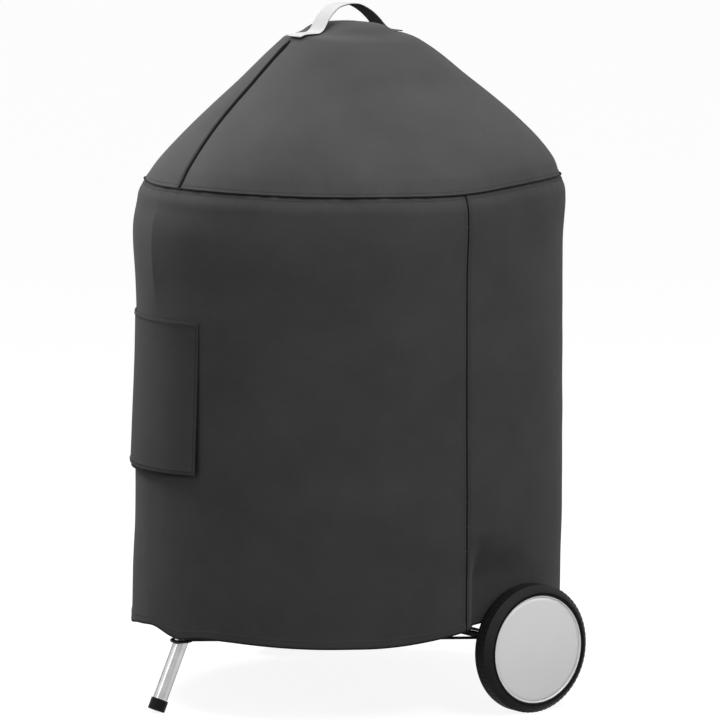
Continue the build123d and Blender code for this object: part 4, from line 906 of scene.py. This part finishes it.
def woven(name, base, spread=0.24, pitch=0.9 * MM, depth=0.10 * MM, sheen=0.06, roughness=0.85):
    """Plain-woven coated cloth: a fine weave, slubs along the weft, and slow mottling."""
    s = Shader(name)
    cloth = s.place(attribute="cloth")
    parts = s.add("ShaderNodeSeparateXYZ")
    s.link(cloth, parts.inputs[0])
    warp = s.math("SINE", s.math("MULTIPLY", parts.outputs["X"], 2 * pi / pitch))
    weft = s.math("SINE", s.math("MULTIPLY", parts.outputs["Y"], 2 * pi / pitch))
    weave = s.math("MULTIPLY_ADD", s.math("MULTIPLY", warp, weft), 0.5, 0.5)
    slub = s.noise(s.place((12, 900, 1), attribute="cloth"), 1.0, 2.0)
    yarn = s.noise(s.place((900, 12, 1), attribute="cloth"), 1.0, 2.0)
    mottle = s.noise(s.place(), 9.0, 5.0, 0.55)
    grain = s.noise(s.place(), 420.0, 2.0)
    tone = s.total((mottle, 0.50), (slub, 0.16), (yarn, 0.10), (grain, 0.18), (weave, 0.06))
    colour = s.greys(tone, 0.30, base * (1 - spread), 0.70, base * (1 + spread))
    normal = s.bump(s.total((weave, 0.8), (slub, 0.6)), depth, 0.6)
    rough = s.math("MULTIPLY_ADD", mottle, 0.12, roughness - 0.06)
    s.set(Specular_IOR_Level=0.06, Sheen_Weight=sheen, Sheen_Roughness=0.5)
    return s.finish(colour, rough, normal)


def thread_material(name, base):
    s = Shader(name)
    twist = s.noise(s.place(), 900.0, 2.0)
    colour = s.greys(twist, 0.3, base * 0.7, 0.7, base * 1.3)
    s.set(Roughness=0.75, Specular_IOR_Level=0.1)
    return s.finish(colour, normal=s.bump(twist, 0.05 * MM, 0.5))


def enamel():
    """Black porcelain enamel: glossy, with a faint orange peel and a little dust."""
    s = Shader("black_enamel")
    peel = s.noise(s.place(), 160.0, 2.0)
    dust = s.noise(s.place(), 14.0, 6.0, 0.6)
    colour = s.greys(dust, 0.35, 0.010, 0.75, 0.022)
    rough = s.math("MULTIPLY_ADD", dust, 0.16, 0.06)
    s.set(Coat_Weight=0.6, Coat_Roughness=0.05)
    return s.finish(colour, rough, s.bump(peel, 0.06 * MM, 0.25))


def metal(name, base, roughness, scale, rotation=None, streak=0.10, tint=0.015, edge=1.0):
    """Metal with fine streaks along the direction whose scale is small."""
    s = Shader(name)
    lines = s.noise(s.place(scale, rotation), 1.0, 4.0, 0.6)
    cloud = s.noise(s.place(), 22.0, 4.0)
    tone = s.total((lines, 0.6), (cloud, 0.4))
    pale = min(base * (1 + streak), 0.95)
    colour = s.greys(tone, 0.3, base * (1 - streak), 0.7, pale, tint)
    rough = s.math("MULTIPLY_ADD", tone, 0.22, roughness - 0.11)
    s.set(Metallic=1.0, Specular_Tint=(edge, edge, edge, 1.0))
    return s.finish(colour, rough, s.bump(lines, 0.03 * MM, 0.35))


def coated(name, base, roughness, grain_scale, grain_depth, specular=0.5):
    """Painted or moulded surface with a fine grain and slight unevenness."""
    s = Shader(name)
    grain = s.noise(s.place(), grain_scale, 3.0)
    cloud = s.noise(s.place(), 18.0, 5.0, 0.6)
    colour = s.greys(cloud, 0.3, base * 0.8, 0.72, base * 1.25)
    rough = s.math("MULTIPLY_ADD", cloud, 0.16, roughness - 0.08)
    s.set(Specular_IOR_Level=specular)
    return s.finish(colour, rough, s.bump(grain, grain_depth, 0.5))


def leg_rotation(node):
    """Rotation that turns +Z to the direction of a straight tube."""
    co = np.array([v.co for v in frame["nodes"][node].data.vertices], float)
    middle = co.mean(0)
    _, _, axes = np.linalg.svd(co - middle, full_matrices=False)
    along = Vector(axes[0])
    return tuple(Vector((0, 0, 1)).rotation_difference(along).to_euler())


def make_materials():
    m = {}
    m["cover_fabric"] = woven("cover_cloth", 0.069)
    # The wall and the flap take darker copies of the cover's cloth: painted shade on their upright faces.
    m["wall_fabric_painted_shade"] = woven("wall_cloth_painted_shade", 0.060)
    m["flap"] = woven("flap_cloth_painted_shade", 0.050)
    m["mesh"] = thread_material("net_thread", 0.010)
    m["webbing"] = woven("pale_webbing", 0.54, spread=0.06, pitch=1.5 * MM, depth=0.25 * MM, sheen=0.1)
    m["webbing_black"] = woven("black_webbing", 0.030, pitch=1.5 * MM, depth=0.25 * MM, sheen=0.1)
    m["cover_trim"] = thread_material("black_binding", 0.006)
    # A black strip below the flap's lower edge: painted shadow under the flap.
    m["flap_shadow"] = thread_material("black_painted_shadow", 0.002)
    m["thread"] = thread_material("dark_thread", 0.040)
    m["pale_thread"] = thread_material("pale_thread", 0.62)
    m["enamel"] = enamel()
    m["plated_steel"] = metal("plated_steel", 0.62, 0.30, (260, 260, 260), streak=0.08)
    m["sheet_aluminium"] = metal("aluminium_sheet", 0.70, 0.36, (600, 30, 600))
    m["rack_wire"] = coated("black_wire", 0.008, 0.40, 500, 0.04 * MM, 0.15)
    m["coated_steel"] = coated("powder_coat", 0.014, 0.55, 900, 0.06 * MM, 0.2)
    m["grip_nylon"] = coated("black_nylon", 0.008, 0.50, 1400, 0.04 * MM, 0.1)
    # Lit and shaded copies of the tyre's plastic: the darker one is painted shade on the tread, the lighter
    # one painted light on the outward faces.
    m["wheel_plastic"] = coated("moulded_tyre", 0.007, 0.50, 1100, 0.05 * MM, 0.06)
    m["tyre_side_painted_light"] = coated("tyre_side_painted_light", 0.026, 0.50, 1100, 0.05 * MM, 0.06)
    m["cap_silver"] = silver_cap()
    # The legs' strong streaks along the tube are partly brushed grain and partly painted reflection bands.
    # Their low edge tint darkens the grazing edges as a painted dark reflection of the tyre and cover beside
    # them.
    for side in ("front", "left", "right"):
        leg = side + "_leg"
        m[leg] = metal(leg + "_aluminium", 0.58, 0.26, (240, 240, 2), leg_rotation(leg), streak=0.6, edge=0.1)
    return m


def silver_cap():
    """Satin silver paint, with a fine flake."""
    s = Shader("satin_silver")
    flake = s.noise(s.place(), 1500.0, 1.0)
    cloud = s.noise(s.place(), 9.0, 3.0)
    tone = s.total((flake, 0.4), (cloud, 0.6))
    colour = s.greys(tone, 0.3, 0.74, 0.7, 0.82)
    rough = s.math("MULTIPLY_ADD", cloud, 0.08, 0.36)
    s.set(Metallic=0.25, Specular_IOR_Level=0.3)
    return s.finish(colour, rough, s.bump(flake, 0.02 * MM, 0.2))


# ---- wheels
RIM_R = 84.3 * MM
TYRE_BORE = 87.6 * MM
TREAD_GROOVES = (8.5, 14.0, 19.5)  # in mm from the tyre's inner face
GROOVE_DEPTH = 0.9 * MM
# The tyre's side faces take a lighter copy of its plastic, as painted light.
SIDE_FACING = 0.35  # faces turned out more than this belong to the tyre's side


def wheel_turn(side):
    """From a shape made about +Z to one about the wheel's axis, +Z pointing out of the wheel."""
    x = side * TYRE[0].x
    tilt = Matrix.Rotation(side * pi / 2, 4, "Y")
    return Matrix.Translation((x, WHEEL_Y, WHEEL_Z)) @ tilt


def arc(centre, radius, start, end, count):
    """Points of an arc between two angles in degrees."""
    angle = np.radians(np.linspace(start, end, count))
    return [(centre[0] + radius * cos(t), centre[1] + radius * sin(t)) for t in angle]


def make_tyre(side, side_name):
    """A moulded tyre: chamfered outer shoulder, a grooved tread with small blocks, a plain inner wall. Its
    outward faces take a lighter copy of the plastic as painted light, and the tread a darker one as painted
    shade.
    """
    width = TYRE[1].x - TYRE[0].x
    bore = TYRE_BORE
    out_r = WHEEL_R
    face = width - 1.5 * MM
    profile = [(bore, 0.0)]
    profile += arc((out_r - 4.0 * MM, 4.0 * MM), 4.0 * MM, -90, 0, 5)
    for groove in TREAD_GROOVES:
        at = groove * MM
        profile += [(out_r, at - 1.0 * MM), (out_r - GROOVE_DEPTH, at - 0.6 * MM)]
        profile += [(out_r - GROOVE_DEPTH, at + 0.6 * MM), (out_r, at + 1.0 * MM)]
    chamfer = 8.5 * MM
    rounding = 2.5 * MM
    inset = rounding * tan(radians(22.5))
    profile += arc((out_r - rounding, face - chamfer - inset), rounding, 0, 45, 5)
    profile += arc((out_r - chamfer - inset, face - rounding), rounding, 45, 90, 5)
    profile += [(bore + 2.0 * MM, width - 0.6 * MM), (bore + 1.0 * MM, width - 0.2 * MM)]
    profile += [(bore, width - 1.0 * MM)]

    def blocks(grid, angle):
        """Shallow cross grooves moulded into the tread."""
        r = np.hypot(grid[..., 0], grid[..., 1])
        h = grid[..., 2]
        on_tread = (r > out_r - 1.5 * MM) & (h > 5 * MM) & (h < 25 * MM)
        cut = (np.arange(len(angle)) % 4 == 0)[:, None] & on_tread
        scale = np.where(cut, (r - 0.7 * MM) / r, 1.0)
        grid[..., 0] *= scale
        grid[..., 1] *= scale
        return grid

    piece = lathe(side_name + "_moulded_tyre", profile, wheel_turn(side), 288, blocks)
    piece.data.set_sharp_from_angle(angle=radians(38))
    dress(piece, side_name + "_wheel", "wheel_plastic", side_name + "_tyre")
    piece.data.materials.append(MATERIALS["tyre_side_painted_light"])
    for polygon in piece.data.polygons:
        # Outward faces take the lighter copy, painted light; the rest keep the darker one, painted shade.
        polygon.material_index = int(side * polygon.normal.x > SIDE_FACING)


def make_hub_cap(side, side_name):
    """The silver cap: a shallow dome, a crease, and a rolled bright rim."""
    depth = CAP[1].x - TYRE[0].x
    rim = RIM_R
    face_r = 80.0 * MM
    crown = 5.5 * MM
    profile = [(0.0005 * MM, depth - 0.1 * MM)]
    for r in np.linspace(8 * MM, face_r, 16):
        profile.append((r, depth - 0.1 * MM - crown * (r / face_r) ** 2))
    low = depth - 0.1 * MM - crown
    profile += [(face_r + 0.6 * MM, low - 0.7 * MM)]
    profile += arc((rim - 1.7 * MM, low - 0.6 * MM), 1.7 * MM, 160, -60, 14)
    back = low - 4.2 * MM
    profile += [(rim - 3.0 * MM, back), (face_r - 4 * MM, low - 2.4 * MM), (40 * MM, depth - 3.4 * MM)]
    profile += [(0.0005 * MM, depth - 2.2 * MM)]
    piece = lathe(side_name + "_silver_cap", profile, wheel_turn(side), 200)
    piece.data.set_sharp_from_angle(angle=radians(50))
    dress(piece, side_name + "_wheel", "cap_silver", side_name + "_hub_cap")


# ---- carried-over CAD nodes
NODE_MATERIAL = {"axle": "coated_steel"}  # what shows of the axle in the photo is black


def dress_nodes():
    """Every CAD node takes the procedural material of its slot, or one of its own."""
    slots = {part["node"]: part["material_slot"] for part in frame["record"]["subparts"]}
    for node, piece in frame["nodes"].items():
        key = node if node.endswith("_leg") else NODE_MATERIAL.get(node, slots[node])
        piece.data.materials.clear()
        piece.data.materials.append(MATERIALS[key])


# ---- stage
WORLD_LIGHT = 0.30
FLOOR_GLOW = 0.90
FLOOR_TONE = 0.25
CAMERA_DISTANCE = 8.0
CAMERA_HEIGHT = 1.5595
CAMERA_ANGLE = -35.55  # direction of the camera from the kettle's axis
CAMERA_PITCH = 7.395  # degrees below the horizon
CAMERA_YAW = 0.131  # turned to the right of the axis
CAMERA_LENS = 256.45


def look(obj, ahead):
    """Turn a lamp or the camera to look along a vector."""
    obj.rotation_mode = "QUATERNION"
    obj.rotation_quaternion = ahead.to_track_quat("-Z", "Y")


def add_area(name, location, target, size, power):
    data = bpy.data.lights.new(name, "AREA")
    data.shape = "DISK"
    data.size = size
    data.energy = power
    lamp = new_object(name, data)
    lamp.location = location
    look(lamp, Vector(target) - lamp.location)


def white_world():
    """Even grey light; the camera and mirror reflections see plain white."""
    world = bpy.data.worlds.new("studio")
    bpy.context.scene.world = world
    s = Nodes(world)
    output = s.add("ShaderNodeOutputWorld")
    mix = s.add("ShaderNodeMixShader")
    path = s.add("ShaderNodeLightPath")
    seen = s.math("MAXIMUM", path.outputs["Is Camera Ray"], path.outputs["Is Glossy Ray"])
    s.link(s.math("MAXIMUM", seen, path.outputs["Is Transmission Ray"]), mix.inputs[0])
    for socket, strength in ((1, WORLD_LIGHT), (2, 1.0)):
        light = s.add("ShaderNodeBackground")
        light.inputs["Color"].default_value = (1, 1, 1, 1)
        light.inputs["Strength"].default_value = strength
        s.link(light.outputs[0], mix.inputs[socket])
    s.link(mix.outputs[0], output.inputs["Surface"])


def make_floor():
    """A pale floor that keeps a soft shadow and meets the white background without an edge."""
    half = 60.0
    corners = [(-half, -half, 0), (half, -half, 0), (half, half, 0), (-half, half, 0)]
    piece = mesh_from("floor", corners, [(0, 1, 2, 3)])
    s = Shader("pale_floor")
    s.set(Roughness=0.9, Specular_IOR_Level=0.0)
    fine = s.noise(s.place(), 60.0, 2.0)
    colour = s.greys(fine, 0.3, FLOOR_TONE * 0.98, 0.7, FLOOR_TONE * 1.02)
    s.finish(colour)
    glow = s.add("ShaderNodeEmission")
    glow.inputs["Strength"].default_value = FLOOR_GLOW
    path = s.add("ShaderNodeLightPath")
    seen = s.math("MAXIMUM", path.outputs["Is Camera Ray"], path.outputs["Is Glossy Ray"])
    shown = s.add("ShaderNodeMixShader")
    s.link(seen, shown.inputs[0])
    s.link(glow.outputs[0], shown.inputs[2])
    both = s.add("ShaderNodeAddShader")
    s.link(s.bsdf.outputs[0], both.inputs[0])
    s.link(shown.outputs[0], both.inputs[1])
    s.link(both.outputs[0], s.output.inputs["Surface"])
    piece.data.materials.append(s.material)


def make_camera():
    data = bpy.data.cameras.new("camera")
    data.sensor_width = 36.0
    data.lens = CAMERA_LENS
    data.clip_start = 0.1
    data.clip_end = 200.0
    camera = new_object("camera", data)
    angle = radians(CAMERA_ANGLE)
    camera.location = (CAMERA_DISTANCE * cos(angle), AXIS_Y + CAMERA_DISTANCE * sin(angle), CAMERA_HEIGHT)
    heading = angle + pi - radians(CAMERA_YAW)
    pitch = radians(CAMERA_PITCH)
    ahead = Vector((cos(heading) * cos(pitch), sin(heading) * cos(pitch), -sin(pitch)))
    look(camera, ahead)
    bpy.context.scene.camera = camera


def make_lights():
    """A large soft lamp overhead, one high on the right, a small one on the left, and two weak fills."""
    middle = (0, AXIS_Y, 0.7)
    add_area("overhead", (0.2, AXIS_Y - 0.4, 3.0), middle, 2.4, 39)
    add_area("right_top", (2.2, AXIS_Y + 0.1, 2.4), middle, 1.2, 30)
    add_area("left_side", (-1.1, AXIS_Y - 0.55, 1.45), (0, AXIS_Y, 0.75), 0.5, 13)
    add_area("front_fill", (0.2, AXIS_Y - 3.2, 2.0), middle, 1.6, 12)
    add_area("right_side", (2.6, AXIS_Y + 2.2, 1.6), middle, 1.6, 10)


# ---- build
make_camera()
white_world()
make_lights()
make_floor()
MATERIALS = make_materials()
dress_nodes()

cone_right = make_cone("cover_cone", "cover_cone_right", left=False)
cone_left = make_cone("cover_cone_far", "cover_cone_left", left=True)
wall_front = make_wall("cover_skirt_front", -180, WALL_SEAMS[0], "cover_wall_front", window=True)
wall_rear = make_wall("cover_skirt_rear", WALL_SEAMS[0], 180, "cover_wall_rear")
make_net()
make_shoulder_piping()
seams = make_seam_cords() + [make_hem_binding()]
make_cover_stitches()
make_vent_flap()
make_flap_stitches()
make_strap()
for sign, side_name in ((1, "right"), (-1, "left")):
    make_tyre(sign, side_name)
    make_hub_cap(sign, side_name)

bpy.context.scene.view_settings.view_transform = "Standard"
